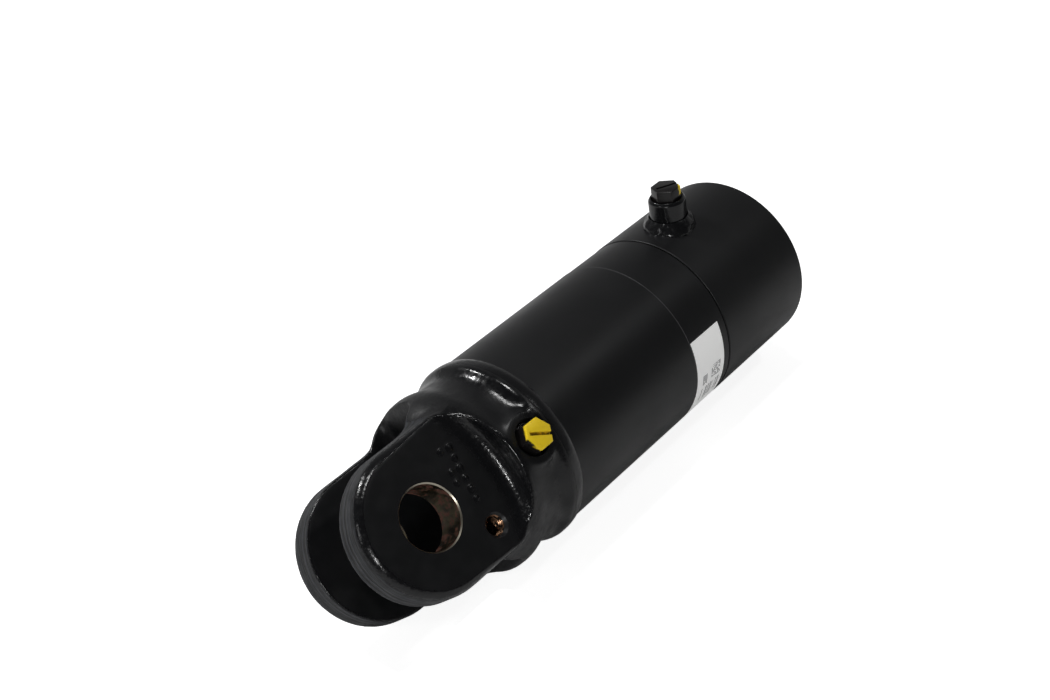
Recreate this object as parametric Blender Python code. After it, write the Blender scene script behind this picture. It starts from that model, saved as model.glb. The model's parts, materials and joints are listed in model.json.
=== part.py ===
"""Two-stage telescopic hydraulic cylinder with a forked base, modelled retracted.

Every piece is drawn in the cylinder's own frame, in millimetres: x runs along the
cylinder from the fork's pin hole to the rod end, y is the pin's axis, z is square to both.
Three empties carry the pieces: one for the barrel and one for each sliding stage. They
stand on the common axis and roll the cylinder so that it lies on its side with the
pin's axis at 45 degrees, the base port facing up and out and the head port facing up.
"""
import math

import bmesh
import bpy
from mathutils import Matrix

MM = 0.001
GAP = 0.3                      # clearance between pieces that touch
RIM_SEGMENTS = 48              # sides of the outer round pieces
CORE_SEGMENTS = 24             # sides of the pieces inside the barrel
PORT_SEGMENTS = 24
OUTSIDE = 80.0                 # past every surface: where cutting solids end

# Driving dimensions, mm
BARREL_R = 55.0
BORE_R = 47.5
STAGE_ONE_R = 40.0
STAGE_ONE_BORE_R = 33.0
STAGE_TWO_R = 25.0

# Fork
NOSE_R = 41.0
FORK_HALF_WIDTH = 39.5
FORK_HALF_GAP = 19.0
THROAT_X = 45.0
THROAT_CORNER_R = 6.0
EAR_CHAMFER = 4.2
PIN_R = 17.5
PIN_CHAMFER = 1.0
KEEPER_X, KEEPER_Z, KEEPER_R = 29.0, -24.5, 5.3
ROOT_START_X, ROOT_END_X, ROOT_END_Z = 36.0, 56.0, 29.0
FACING_CENTRE_X, FACING_R, FACING_FILLET = -43.5, 97.0, 9.0

# Stations along the cylinder
NECK_R = 52.0
NECK_START_X, NECK_END_X = 66.5, 73.0
SHOULDER_FOOT_X, SHOULDER_FOOT_R = 29.0, 40.0
SHOULDER_X, SHOULDER_R = 51.5, 54.9
COLLAR_R = 56.7
COLLAR_X = 79.2
COLLAR_END_X = 82.4
SPIGOT_END_X = 92.0
TUBE_START_X = COLLAR_END_X + 0.4
BAND_START_X = 197.8
BAND_R = 54.75
BAND_END_X = 231.4
HEAD_START_X = 232.4
HEAD_SPIGOT_END_X = 246.0
HEAD_SPIGOT_R = 51.2
GLAND_SEAT_X = 268.4
GLAND_SEAT_R = 49.0
HEAD_END_X = 315.0
WELD_BEVEL = 4.5               # the tube's end under the weld bead
SHADOW_GROOVE, SHADOW_DEPTH = 0.7, 0.65     # between the band and the head

# Ports: G1/4 threads closed by hexagon transport plugs
BASE_PORT_X = 68.5
HEAD_PORT_X = 258.0
HEAD_PORT_ANGLE = math.radians(52)     # from the base port's side towards +z
PORT_THREAD_R = 5.9
PLUG_SHANK_R, PLUG_SHANK = 5.6, 9.5
PLUG_FLANGE_R, PLUG_FLANGE = 9.0, 1.8
PLUG_HEX_ACROSS_FLATS, PLUG_HEX = 15.5, 9.5
PLUG_SLOT_WIDTH, PLUG_SLOT_DEPTH = 2.0, 1.8
PLUG_SLOT_TURN = math.radians(-30)     # how far the slot turns from the x axis
PLUG_SEAL = 1.4
SPOT_FACE_R = 10.5
OIL_DRILL_R = 4.0
BASE_BOSS_TOP = 55.0
BASE_PORT_FLOOR = 48.5
BASE_BOSS_R = 14.6
HEAD_BOSS_TOP = 73.0
HEAD_PORT_FLOOR = 66.5
HEAD_SPOT_FACE_R = 9.4
HEAD_BOSS_R, HEAD_BOSS_EDGE = 11.3, 0.9

# Stage one, retracted
ONE_PISTON_X, ONE_PISTON_FACE_X, ONE_PISTON_END_X = 96.0, 118.0, 132.0
ONE_END_X = 320.0
ONE_GLAND_X = 282.0
ONE_PASSAGE_R = 20.0           # lets oil through the piston to stage two
# Stage two, retracted
TWO_SPIGOT_X, TWO_PISTON_X, TWO_PISTON_END_X = 123.0, 133.0, 157.0
TWO_SPIGOT_R = 12.0
NUT_X, NUT_ACROSS_FLATS = 124.5, 30.0
TWO_END_X = 329.0
ROD_THREAD_R, ROD_THREAD_DEPTH = 11.0, 31.0
ROD_FLATS, ROD_FLATS_LENGTH = 44.0, 6.5

# Grooves, each as (start, end, floor radius), and the open seats of the wipers
GLAND_RECESS = 0.4             # how far the head gland's end lies inside the housing's
SLOT_HALF_WIDTH, SPANNER_SLOT_DEPTH = 3.0, 2.5
HEAD_STATIC_GROOVE = (273.0, 277.0, 46.2)
HEAD_SEAL_GROOVE = (283.0, 291.0, 45.3)
HEAD_GUIDE_GROOVE = (293.0, 305.0, 42.8)
HEAD_WIPER_SEAT = (309.0, HEAD_END_X - GLAND_RECESS, 44.3)
ONE_PISTON_GUIDE_GROOVE = (99.0, 107.0, 44.8)
ONE_PISTON_SEAL_GROOVE = (109.0, 115.0, 42.4)
ONE_SPIGOT_GROOVE = (122.0, 125.6, 30.2)
ONE_STATIC_GROOVE = (285.0, 288.6, 30.4)
ONE_SEAL_GROOVE = (292.0, 299.0, 29.8)
ONE_GUIDE_GROOVE = (301.0, 311.0, 27.6)
ONE_WIPER_SEAT = (314.0, ONE_END_X - 0.6, 29.3)
TWO_GUIDE_GROOVE = (136.0, 143.0, 30.3)
TWO_SEAL_GROOVE = (145.0, 151.0, 28.2)
TWO_STATIC_GROOVE = (146.6, 150.0, 14.6)

# Placement of the whole cylinder
CENTRE_X = (TWO_END_X - NOSE_R) / 2
AXIS_HEIGHT = COLLAR_R * math.cos(math.pi / RIM_SEGMENTS)
ROLL = math.radians(-45)

PORT_SIDE = Matrix.Rotation(math.radians(90), 4, "X")    # local +z turned to the -y side


def clear_scene():
    for item in list(bpy.data.objects):
        bpy.data.objects.remove(item, do_unlink=True)


def material(name, colour, roughness, metallic):
    made = bpy.data.materials.new(name)
    made.use_nodes = True
    shader = made.node_tree.nodes["Principled BSDF"]
    shader.inputs["Base Color"].default_value = (*colour, 1.0)
    shader.inputs["Roughness"].default_value = roughness
    shader.inputs["Metallic"].default_value = metallic
    made.diffuse_color = (*colour, 1.0)
    return made


def frame(name):
    """An empty on the cylinder's axis, which carries the pieces of one body."""
    empty = bpy.data.objects.new(name, None)
    bpy.context.collection.objects.link(empty)
    empty.location = (-CENTRE_X * MM, 0, AXIS_HEIGHT * MM)
    empty.rotation_euler = (ROLL, 0, 0)
    return empty


def add_object(name, mesh_data, finish=None, parent=None):
    """Turn a bmesh drawn in millimetres into an object in metres."""
    bmesh.ops.remove_doubles(mesh_data, verts=mesh_data.verts, dist=0.001)
    bmesh.ops.recalc_face_normals(mesh_data, faces=mesh_data.faces)
    bmesh.ops.scale(mesh_data, vec=(MM, MM, MM), verts=mesh_data.verts)
    mesh = bpy.data.meshes.new(name)
    mesh_data.to_mesh(mesh)
    mesh_data.free()
    mesh.shade_smooth()
    mesh.set_sharp_from_angle(angle=math.radians(25))
    if finish:
        mesh.materials.append(finish)
    item = bpy.data.objects.new(name, mesh)
    bpy.context.collection.objects.link(item)
    item.parent = parent
    return item


def spin_profile(profile, segments, angle=math.tau, start=None, axis="X"):
    """Turn a closed (along, radius) outline about the x axis, or about another axis.

    A full turn starts half a side round, so flats face the y and z directions.
    """
    if start is None:
        start = math.pi / segments
    turned = bmesh.new()
    corners = [turned.verts.new((along, 0, radius)) for along, radius in profile]
    edges = [turned.edges.new((corners[i - 1], corners[i])) for i in range(len(corners))]
    on_axis = [e for e in edges if max(abs(v.co.z) for v in e.verts) < 1e-6]
    for edge in on_axis:
        turned.edges.remove(edge)
    bmesh.ops.rotate(turned, cent=(0, 0, 0), verts=turned.verts,
                     matrix=Matrix.Rotation(start, 3, "X"))
    outline = turned.verts[:] + turned.edges[:]
    full = angle > math.tau - 1e-6
    if full:
        bmesh.ops.spin(turned, geom=outline, cent=(0, 0, 0), axis=(1, 0, 0), dvec=(0, 0, 0),
                       angle=angle, steps=segments, use_merge=True)
    else:
        first = turned.faces.new(corners)
        bmesh.ops.spin(turned, geom=[first], cent=(0, 0, 0), axis=(1, 0, 0), dvec=(0, 0, 0),
                       angle=angle, steps=segments)
    if axis == "Z":
        bmesh.ops.rotate(turned, cent=(0, 0, 0), verts=turned.verts,
                         matrix=Matrix.Rotation(math.radians(-90), 3, "Y"))
    return turned


def loft(rings):
    """A closed solid through rings of points with equal counts, capped at both ends."""
    solid = bmesh.new()
    loops = [[solid.verts.new(point) for point in ring] for ring in rings]
    count = len(loops[0])
    for lower, upper in zip(loops, loops[1:]):
        for i in range(count):
            j = (i + 1) % count
            solid.faces.new((lower[i], lower[j], upper[j], upper[i]))
    solid.faces.new(loops[0])
    solid.faces.new(loops[-1])
    return solid


def circle(radius, segments, phase=0.0):
    turn = math.tau / segments
    return [(radius * math.cos(phase + i * turn), radius * math.sin(phase + i * turn))
            for i in range(segments)]


def hexagon(across_flats, phase=0.0):
    return circle(across_flats / math.sqrt(3), 6, phase)


def prism(outline, low, high):
    return loft([[(u, v, level) for u, v in outline] for level in (low, high)])


def box(low, high):
    (x0, y0, z0), (x1, y1, z1) = low, high
    return prism([(x0, y0), (x1, y0), (x1, y1), (x0, y1)], z0, z1)


def shaper(name, mesh_data, parent, placement=None):
    """A hidden solid that a Boolean adds to a piece or takes from it."""
    if placement is not None:
        bmesh.ops.transform(mesh_data, matrix=placement, verts=mesh_data.verts)
    item = add_object(name, mesh_data, parent=parent)
    item.hide_render = True
    item.display_type = "WIRE"
    return item


def combine(item, tool, operation):
    step = item.modifiers.new(tool.name, "BOOLEAN")
    step.object = tool
    step.operation = operation
    step.solver = "EXACT"


def at_port(x, angle=0.0):
    """Placement whose +z points out of a port at x, `angle` round from the -y side."""
    return Matrix.Translation((x, 0, 0)) @ Matrix.Rotation(-angle, 4, "X") @ PORT_SIDE


def ring_section(x0, x1, inner, outer):
    return [(x0, inner), (x0, outer), (x1, outer), (x1, inner)]


def o_ring_section(x0, x1, inner, outer):
    """A six-sided cord section that fills its groove but for the clearance."""
    middle = (inner + outer) / 2
    side = (x1 - x0) * 0.25
    return [(x0, middle), (x0 + side, outer), (x1 - side, outer),
            (x1, middle), (x1 - side, inner), (x0 + side, inner)]


def lip_seal_section(x0, x1, inner, outer):
    """A U-cup: its open side faces the oil, at the low-x end."""
    middle = (inner + outer) / 2
    lip = (outer - inner) * 0.22
    return [(x0, inner), (x0 + 0.1, middle - lip), (x0 + 2.2, middle),
            (x0 + 0.1, middle + lip), (x0, outer), (x1, outer), (x1, inner)]


def wiper_section(x0, x1, inner, outer):
    """A wiper whose lip stands proud of its gland, against the sliding tube."""
    return [(x0, inner), (x0, outer), (x1, outer), (x1 + 0.2, inner + 1.6),
            (x1 + 1.7, inner + 0.9), (x1 + 1.7, inner)]


def turned_piece(name, profile, finish, parent, segments=CORE_SEGMENTS):
    return add_object(name, spin_profile(profile, segments), finish, parent)


def groove(section, surface):
    """The outline's way from a surface round a groove, in the direction of +x."""
    start, end, floor = section
    return [(start, surface), (start, floor), (end, floor), (end, surface)]


def bore_outline(bore, wiper_seat, *grooves):
    """A gland's inside, in the direction of -x: the wiper's seat, then each groove."""
    start, end, floor = wiper_seat
    points = [(end, floor), (start, floor), (start, bore)]
    for section in grooves:
        points += groove(section, bore)[::-1]
    return points


def fill_groove(name, section, surface, shape, finish, parent):
    """A ring or seal that fills a groove but for the clearance, up to its surface."""
    start, end, floor = section
    inner, outer = sorted((floor + math.copysign(GAP, surface - floor), surface))
    return turned_piece(name, shape(start + GAP, end - GAP, inner, outer), finish, parent)


def ease(start, end, steps):
    """Points of an S-shaped stretch between two (x, radius) points, ends included."""
    points = []
    for i in range(steps + 1):
        share = (1 - math.cos(math.pi * i / steps)) / 2
        points.append((start[0] + (end[0] - start[0]) * i / steps,
                       start[1] + (end[1] - start[1]) * share))
    return points


def ear_outline(inset):
    """The fork's side view: a round nose, straight edges and a narrowing root.

    The inset is full round the nose and fades out along the edges.
    """
    nose = NOSE_R - inset
    root_steps, arc_steps = 4, 20
    root = []
    for i in range(root_steps + 1):
        share = i / root_steps
        z = NOSE_R - (NOSE_R - ROOT_END_Z) * share ** 1.5
        root.append((ROOT_START_X + (ROOT_END_X - ROOT_START_X) * share,
                     z - 0.2 * inset * (1 - share)))
    arc = [(-nose * math.sin(math.pi * i / arc_steps), nose * math.cos(math.pi * i / arc_steps))
           for i in range(arc_steps + 1)]
    return root[::-1] + arc + [(x, -z) for x, z in root]


def fork_block():
    facing = 0.3
    face = FORK_HALF_WIDTH + facing
    levels = [(-face, EAR_CHAMFER + facing), (-FORK_HALF_WIDTH + EAR_CHAMFER, 0.0),
              (FORK_HALF_WIDTH - EAR_CHAMFER, 0.0), (face, EAR_CHAMFER + facing)]
    return loft([[(x, y, z) for x, z in ear_outline(inset)] for y, inset in levels])


def facing_tool(side):
    """A wide milling cut with a filleted rim, which leaves an ear's flat outer face."""
    start = FORK_HALF_WIDTH
    steps = 5
    fillet = []
    for i in range(steps + 1):
        turn = math.radians(90) * i / steps
        radius = FACING_R - FACING_FILLET + FACING_FILLET * math.sin(turn)
        fillet.append((start + FACING_FILLET * (1 - math.cos(turn)), radius))
    profile = [(start, 0.0)] + fillet + [(OUTSIDE, FACING_R), (OUTSIDE, 0.0)]
    tool = spin_profile(profile, 72, axis="Z")
    turn = Matrix.Rotation(math.radians(90) * side, 4, "X")
    bmesh.ops.transform(tool, matrix=Matrix.Translation((FACING_CENTRE_X, 0, 0)) @ turn,
                        verts=tool.verts)
    return tool


def slot_tool():
    """The gap between the ears, with rounded corners at its closed end."""
    corner = THROAT_X - THROAT_CORNER_R, FORK_HALF_GAP - THROAT_CORNER_R
    steps = 4
    bend = [(corner[0] + THROAT_CORNER_R * math.sin(math.radians(90) * i / steps),
             corner[1] + THROAT_CORNER_R * math.cos(math.radians(90) * i / steps))
            for i in range(steps + 1)]
    outline = [(-OUTSIDE, FORK_HALF_GAP)] + bend
    outline += [(x, -y) for x, y in outline[::-1]]
    return prism(outline, -OUTSIDE, OUTSIDE)


def clevis_profile():
    """The turned body: root, shoulder, neck, collar and the spigot inside the barrel."""
    shoulder_steps = 5
    shoulder = []
    for i in range(shoulder_steps + 1):
        turn = math.radians(90) * i / shoulder_steps
        shoulder.append((SHOULDER_X - (SHOULDER_X - SHOULDER_FOOT_X) * math.cos(turn),
                         SHOULDER_FOOT_R + (SHOULDER_R - SHOULDER_FOOT_R) * math.sin(turn)))
    waist = ease((SHOULDER_X, SHOULDER_R), (NECK_START_X, NECK_R), 3)[1:]
    flare = ease((NECK_END_X, NECK_R), (COLLAR_X, COLLAR_R), 4)
    return [(SHOULDER_FOOT_X, 0.0)] + shoulder + waist + flare + [
        (COLLAR_END_X, COLLAR_R), (COLLAR_END_X, BORE_R - GAP),
        (SPIGOT_END_X, BORE_R - GAP), (SPIGOT_END_X, 0.0)]


def pin_tool():
    face = FORK_HALF_WIDTH
    reach = 10.0
    profile = [(-face - reach, 0.0), (-face - reach, PIN_R + PIN_CHAMFER + reach),
               (-face + PIN_CHAMFER, PIN_R), (face - PIN_CHAMFER, PIN_R),
               (face + reach, PIN_R + PIN_CHAMFER + reach), (face + reach, 0.0)]
    return spin_profile(profile, 40, axis="Z")


def base_port_tool():
    """Spot face, thread and oil drilling, from the boss down to the cylinder's axis."""
    floor = BASE_PORT_FLOOR
    profile = [(0.0, 0.0), (0.0, 3.5), (35.0, 3.5), (37.0, PORT_THREAD_R),
               (floor, PORT_THREAD_R), (floor, SPOT_FACE_R), (OUTSIDE, SPOT_FACE_R),
               (OUTSIDE, 0.0)]
    return spin_profile(profile, PORT_SEGMENTS, axis="Z")


def base_boss():
    """The cast boss under the base port, cut off short of the barrel tube."""
    profile = [(40.0, 0.0), (40.0, 18.6), (48.5, 18.0), (52.5, 16.0), (54.3, 15.3),
               (BASE_BOSS_TOP, BASE_BOSS_R), (BASE_BOSS_TOP, 0.0)]
    boss = spin_profile(profile, PORT_SEGMENTS, axis="Z")
    reach = COLLAR_END_X - 0.2 - BASE_PORT_X
    parts = boss.verts[:] + boss.edges[:] + boss.faces[:]
    cut = bmesh.ops.bisect_plane(boss, geom=parts, plane_co=(reach, 0, 0), plane_no=(1, 0, 0),
                                 clear_outer=True)["geom_cut"]
    rim = [item for item in cut if isinstance(item, bmesh.types.BMEdge)]
    bmesh.ops.edgenet_fill(boss, edges=rim)
    return boss


def make_base_clevis(paint, parent):
    clevis = turned_piece("base_clevis", clevis_profile(), paint, parent, RIM_SEGMENTS)
    combine(clevis, shaper("fork_block", fork_block(), parent), "UNION")
    for label, side in (("front", 1), ("rear", -1)):
        combine(clevis, shaper(f"facing_{label}", facing_tool(side), parent), "DIFFERENCE")
    port = at_port(BASE_PORT_X)
    combine(clevis, shaper("base_boss", base_boss(), parent, port), "UNION")
    combine(clevis, shaper("fork_slot", slot_tool(), parent), "DIFFERENCE")
    combine(clevis, shaper("pin_bore", pin_tool(), parent, PORT_SIDE), "DIFFERENCE")
    keeper = prism(circle(KEEPER_R, 16), FORK_HALF_GAP - 5, OUTSIDE)
    keeper_place = at_port(KEEPER_X) @ Matrix.Translation((0, KEEPER_Z, 0))
    combine(clevis, shaper("keeper_hole", keeper, parent, keeper_place), "DIFFERENCE")
    combine(clevis, shaper("base_drilling", base_port_tool(), parent, port), "DIFFERENCE")
    feed = spin_profile([(BASE_PORT_X - 2, 0.0), (BASE_PORT_X - 2, 5.0),
                         (SPIGOT_END_X + 5, 5.0), (SPIGOT_END_X + 5, 0.0)], 16)
    combine(clevis, shaper("base_feed", feed, parent), "DIFFERENCE")
    return clevis


def make_port_plug(name, finish, parent, placement, seat):
    """A hexagon plug; `seat` is the height of its flange's underside above the axis."""
    profile = [(seat - PLUG_SHANK, 0.0), (seat - PLUG_SHANK, PLUG_SHANK_R - 0.6),
               (seat - PLUG_SHANK + 0.8, PLUG_SHANK_R), (seat, PLUG_SHANK_R),
               (seat, PLUG_FLANGE_R), (seat + PLUG_FLANGE, PLUG_FLANGE_R),
               (seat + PLUG_FLANGE, 0.0)]
    body = spin_profile(profile, PORT_SEGMENTS, axis="Z")
    bmesh.ops.transform(body, matrix=placement, verts=body.verts)
    plug = add_object(name, body, finish, parent)
    top = seat + PLUG_FLANGE + PLUG_HEX
    head = prism(hexagon(PLUG_HEX_ACROSS_FLATS), seat + PLUG_FLANGE - 0.5, top)
    combine(plug, shaper(f"{name}_hexagon", head, parent, placement), "UNION")
    half = PLUG_SLOT_WIDTH / 2
    slot = box((-OUTSIDE, -half, top - PLUG_SLOT_DEPTH), (OUTSIDE, half, top + OUTSIDE))
    turned = placement @ Matrix.Rotation(PLUG_SLOT_TURN, 4, "Z")
    combine(plug, shaper(f"{name}_slot", slot, parent, turned), "DIFFERENCE")
    return plug


def make_plug_seal(name, rubber, parent, placement, floor):
    profile = o_ring_section(floor, floor + PLUG_SEAL, PORT_THREAD_R + 0.4, PORT_THREAD_R + 2.4)
    seal = spin_profile(profile, PORT_SEGMENTS, axis="Z")
    bmesh.ops.transform(seal, matrix=placement, verts=seal.verts)
    return add_object(name, seal, rubber, parent)


def make_barrel_tube(paint, parent):
    groove_floor, groove_end = BAND_R - SHADOW_DEPTH, BAND_END_X + SHADOW_GROOVE
    profile = [(TUBE_START_X, BORE_R), (TUBE_START_X, BARREL_R - WELD_BEVEL),
               (TUBE_START_X + WELD_BEVEL, BARREL_R), (BAND_START_X, BARREL_R),
               (BAND_START_X + 0.2, BAND_R), (BAND_END_X, BAND_R), (BAND_END_X, groove_floor),
               (groove_end, groove_floor), (groove_end, HEAD_SPIGOT_R),
               (HEAD_SPIGOT_END_X, HEAD_SPIGOT_R), (HEAD_SPIGOT_END_X, BORE_R)]
    return turned_piece("barrel_tube", profile, paint, parent, RIM_SEGMENTS)


def make_base_weld(paint, parent):
    """The weld bead that fills the groove between the collar and the barrel tube."""
    start = COLLAR_END_X + GAP
    profile = [(start, 50.95), (start, COLLAR_R - 0.2), (start + 1.8, COLLAR_R),
               (start + 4.3, 56.0), (start + 6.1, BARREL_R + GAP + 0.02),
               (start + 4.3, BARREL_R + GAP + 0.02)]
    return turned_piece("base_weld", profile, paint, parent, RIM_SEGMENTS)


def make_head_housing(paint, parent):
    seat = HEAD_SPIGOT_R + GAP
    step = HEAD_SPIGOT_END_X + GAP
    profile = [(HEAD_START_X, seat), (HEAD_START_X, BARREL_R - 0.4),
               (HEAD_START_X + 0.4, BARREL_R), (HEAD_END_X - 1.6, BARREL_R),
               (HEAD_END_X - 0.4, BARREL_R - 0.6), (HEAD_END_X, BARREL_R - 1.8),
               (HEAD_END_X, GLAND_SEAT_R), (GLAND_SEAT_X, GLAND_SEAT_R),
               (GLAND_SEAT_X, BORE_R), (step, BORE_R), (step, seat)]
    housing = turned_piece("head_housing", profile, paint, parent, RIM_SEGMENTS)
    drilling = shaper("head_drilling", prism(circle(OIL_DRILL_R, 16), 40.0, OUTSIDE), parent,
                      at_port(HEAD_PORT_X, HEAD_PORT_ANGLE))
    combine(housing, drilling, "DIFFERENCE")
    return housing


def head_surface_tool(parent, name):
    """The head housing's outer surface and everything inside it, plus the clearance."""
    core = spin_profile([(200.0, 0.0), (200.0, BARREL_R + GAP), (HEAD_END_X, BARREL_R + GAP),
                         (HEAD_END_X, 0.0)], RIM_SEGMENTS)
    return shaper(name, core, parent)


def make_head_port_boss(paint, parent):
    place = at_port(HEAD_PORT_X, HEAD_PORT_ANGLE)
    top, floor = HEAD_BOSS_TOP, HEAD_PORT_FLOOR
    profile = [(51.0, OIL_DRILL_R), (51.0, HEAD_BOSS_R), (top - HEAD_BOSS_EDGE, HEAD_BOSS_R),
               (top, HEAD_BOSS_R - HEAD_BOSS_EDGE), (top, HEAD_SPOT_FACE_R),
               (floor, HEAD_SPOT_FACE_R), (floor, PORT_THREAD_R), (57.5, PORT_THREAD_R),
               (56.2, OIL_DRILL_R)]
    body = spin_profile(profile, PORT_SEGMENTS, axis="Z")
    bmesh.ops.transform(body, matrix=place, verts=body.verts)
    boss = add_object("head_port_boss", body, paint, parent)
    combine(boss, head_surface_tool(parent, "boss_saddle"), "DIFFERENCE")
    return boss


def make_head_port_weld(paint, parent):
    place = at_port(HEAD_PORT_X, HEAD_PORT_ANGLE)
    inner = HEAD_BOSS_R + GAP
    profile = [(49.0, inner), (49.0, 16.6), (54.5, 15.2), (57.5, 13.6), (60.0, inner + 0.8),
               (60.4, inner)]
    bead = spin_profile(profile, PORT_SEGMENTS, axis="Z")
    bmesh.ops.transform(bead, matrix=place, verts=bead.verts)
    weld = add_object("head_port_weld", bead, paint, parent)
    combine(weld, head_surface_tool(parent, "weld_saddle"), "DIFFERENCE")
    return weld


def make_label(paper, parent):
    """A printed label wrapped round the turned band, on the side below the base port."""
    steps = 8
    side = math.tau / RIM_SEGMENTS
    lift = BAND_R + GAP
    profile = ring_section(BAND_START_X + 0.7, BAND_START_X + 28.0, lift, lift + 0.15)
    first_side = math.radians(90) + 2.5 * side      # from +z towards -y, then on below it
    strip = spin_profile(profile, steps, angle=steps * side, start=first_side)
    return add_object("rating_label", strip, paper, parent)


def make_head_gland(steel, parent):
    bore, outer = STAGE_ONE_R + GAP, GLAND_SEAT_R - GAP
    start, end = GLAND_SEAT_X + GAP, HEAD_END_X - GLAND_RECESS
    profile = [(start, outer)] + groove(HEAD_STATIC_GROOVE, outer) + [(end, outer)]
    profile += bore_outline(bore, HEAD_WIPER_SEAT, HEAD_GUIDE_GROOVE, HEAD_SEAL_GROOVE)
    gland = turned_piece("head_gland", profile + [(start, bore)], steel, parent)
    for i, half in enumerate(((OUTSIDE, SLOT_HALF_WIDTH), (SLOT_HALF_WIDTH, OUTSIDE))):
        slot = box((end - SPANNER_SLOT_DEPTH, -half[0], -half[1]), (end + 5, half[0], half[1]))
        combine(gland, shaper(f"spanner_slot_{i}", slot, parent), "DIFFERENCE")
    return gland


def make_head_seals(rubber, bearing, parent):
    outer, bore = GLAND_SEAT_R - GAP, STAGE_ONE_R + GAP
    fill_groove("head_gland_o_ring", HEAD_STATIC_GROOVE, outer, o_ring_section, rubber, parent)
    fill_groove("head_rod_seal", HEAD_SEAL_GROOVE, bore, lip_seal_section, rubber, parent)
    fill_groove("head_guide_ring", HEAD_GUIDE_GROOVE, bore, ring_section, bearing, parent)
    fill_groove("head_wiper", HEAD_WIPER_SEAT, bore, wiper_section, rubber, parent)


def make_stage_one_piston(steel, parent):
    outer, spigot = BORE_R - GAP, STAGE_ONE_BORE_R - GAP
    face, end = ONE_PISTON_FACE_X, ONE_PISTON_END_X
    profile = [(ONE_PISTON_X, ONE_PASSAGE_R), (ONE_PISTON_X, outer - 1),
               (ONE_PISTON_X + 1, outer)]
    profile += groove(ONE_PISTON_GUIDE_GROOVE, outer) + groove(ONE_PISTON_SEAL_GROOVE, outer)
    profile += [(face, outer), (face, spigot)] + groove(ONE_SPIGOT_GROOVE, spigot)
    profile += [(end, spigot), (end, ONE_PASSAGE_R)]
    return turned_piece("stage_one_piston", profile, steel, parent)


def make_stage_one_tube(chrome, parent):
    start, end = ONE_PISTON_FACE_X + GAP, ONE_END_X
    profile = [(start, STAGE_ONE_BORE_R), (start, STAGE_ONE_R), (end - 1, STAGE_ONE_R),
               (end, STAGE_ONE_R - 1), (end, STAGE_ONE_BORE_R)]
    return turned_piece("stage_one_tube", profile, chrome, parent)


def make_stage_one_gland(steel, parent):
    bore, outer = STAGE_TWO_R + GAP, STAGE_ONE_BORE_R - GAP
    start, end = ONE_GLAND_X, ONE_WIPER_SEAT[1]
    profile = [(start, outer)] + groove(ONE_STATIC_GROOVE, outer) + [(end, outer)]
    profile += bore_outline(bore, ONE_WIPER_SEAT, ONE_GUIDE_GROOVE, ONE_SEAL_GROOVE)
    return turned_piece("stage_one_gland", profile + [(start, bore)], steel, parent)


def make_stage_one_seals(rubber, bearing, parent):
    wall, spigot, rod = BORE_R - GAP, STAGE_ONE_BORE_R - GAP, STAGE_TWO_R + GAP
    for name, section, surface, shape, finish in (
            ("piston_guide", ONE_PISTON_GUIDE_GROOVE, wall, ring_section, bearing),
            ("piston_seal", ONE_PISTON_SEAL_GROOVE, wall, ring_section, rubber),
            ("piston_o_ring", ONE_SPIGOT_GROOVE, spigot, o_ring_section, rubber),
            ("gland_o_ring", ONE_STATIC_GROOVE, spigot, o_ring_section, rubber),
            ("rod_seal", ONE_SEAL_GROOVE, rod, lip_seal_section, rubber),
            ("guide_ring", ONE_GUIDE_GROOVE, rod, ring_section, bearing),
            ("wiper", ONE_WIPER_SEAT, rod, wiper_section, rubber)):
        fill_groove(f"stage_one_{name}", section, surface, shape, finish, parent)


def make_stage_two_piston(steel, parent):
    outer, bore = STAGE_ONE_BORE_R - GAP, TWO_SPIGOT_R + GAP
    start, end = TWO_PISTON_X, TWO_PISTON_END_X
    profile = [(start, bore), (start, outer - 0.8), (start + 0.8, outer)]
    profile += groove(TWO_GUIDE_GROOVE, outer) + groove(TWO_SEAL_GROOVE, outer)
    profile += [(end, outer), (end, bore)] + groove(TWO_STATIC_GROOVE, bore)[::-1]
    return turned_piece("stage_two_piston", profile, steel, parent)


def make_stage_two_seals(rubber, bearing, parent):
    wall, bore = STAGE_ONE_BORE_R - GAP, TWO_SPIGOT_R + GAP
    for name, section, surface, shape, finish in (
            ("piston_guide", TWO_GUIDE_GROOVE, wall, ring_section, bearing),
            ("piston_seal", TWO_SEAL_GROOVE, wall, ring_section, rubber),
            ("piston_o_ring", TWO_STATIC_GROOVE, bore, o_ring_section, rubber)):
        fill_groove(f"stage_two_{name}", section, surface, shape, finish, parent)


def make_stage_two_rod(chrome, parent):
    shoulder, end, thread = TWO_PISTON_END_X + GAP, TWO_END_X, ROD_THREAD_R
    bottom = end - ROD_THREAD_DEPTH
    profile = [(TWO_SPIGOT_X, 0.0), (TWO_SPIGOT_X, TWO_SPIGOT_R - 1),
               (TWO_SPIGOT_X + 1, TWO_SPIGOT_R), (shoulder, TWO_SPIGOT_R),
               (shoulder, STAGE_TWO_R), (end - 1, STAGE_TWO_R), (end, STAGE_TWO_R - 1),
               (end, thread + 1), (end - 1, thread), (bottom, thread), (bottom - 4, 0.0)]
    rod = turned_piece("stage_two_rod", profile, chrome, parent)
    for label, side in (("upper", 1), ("lower", -1)):
        near, far = sorted((side * ROD_FLATS / 2, side * OUTSIDE))
        flat = box((end - ROD_FLATS_LENGTH, -OUTSIDE, near), (end + 5, OUTSIDE, far))
        combine(rod, shaper(f"wrench_flat_{label}", flat, parent), "DIFFERENCE")
    return rod


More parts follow.
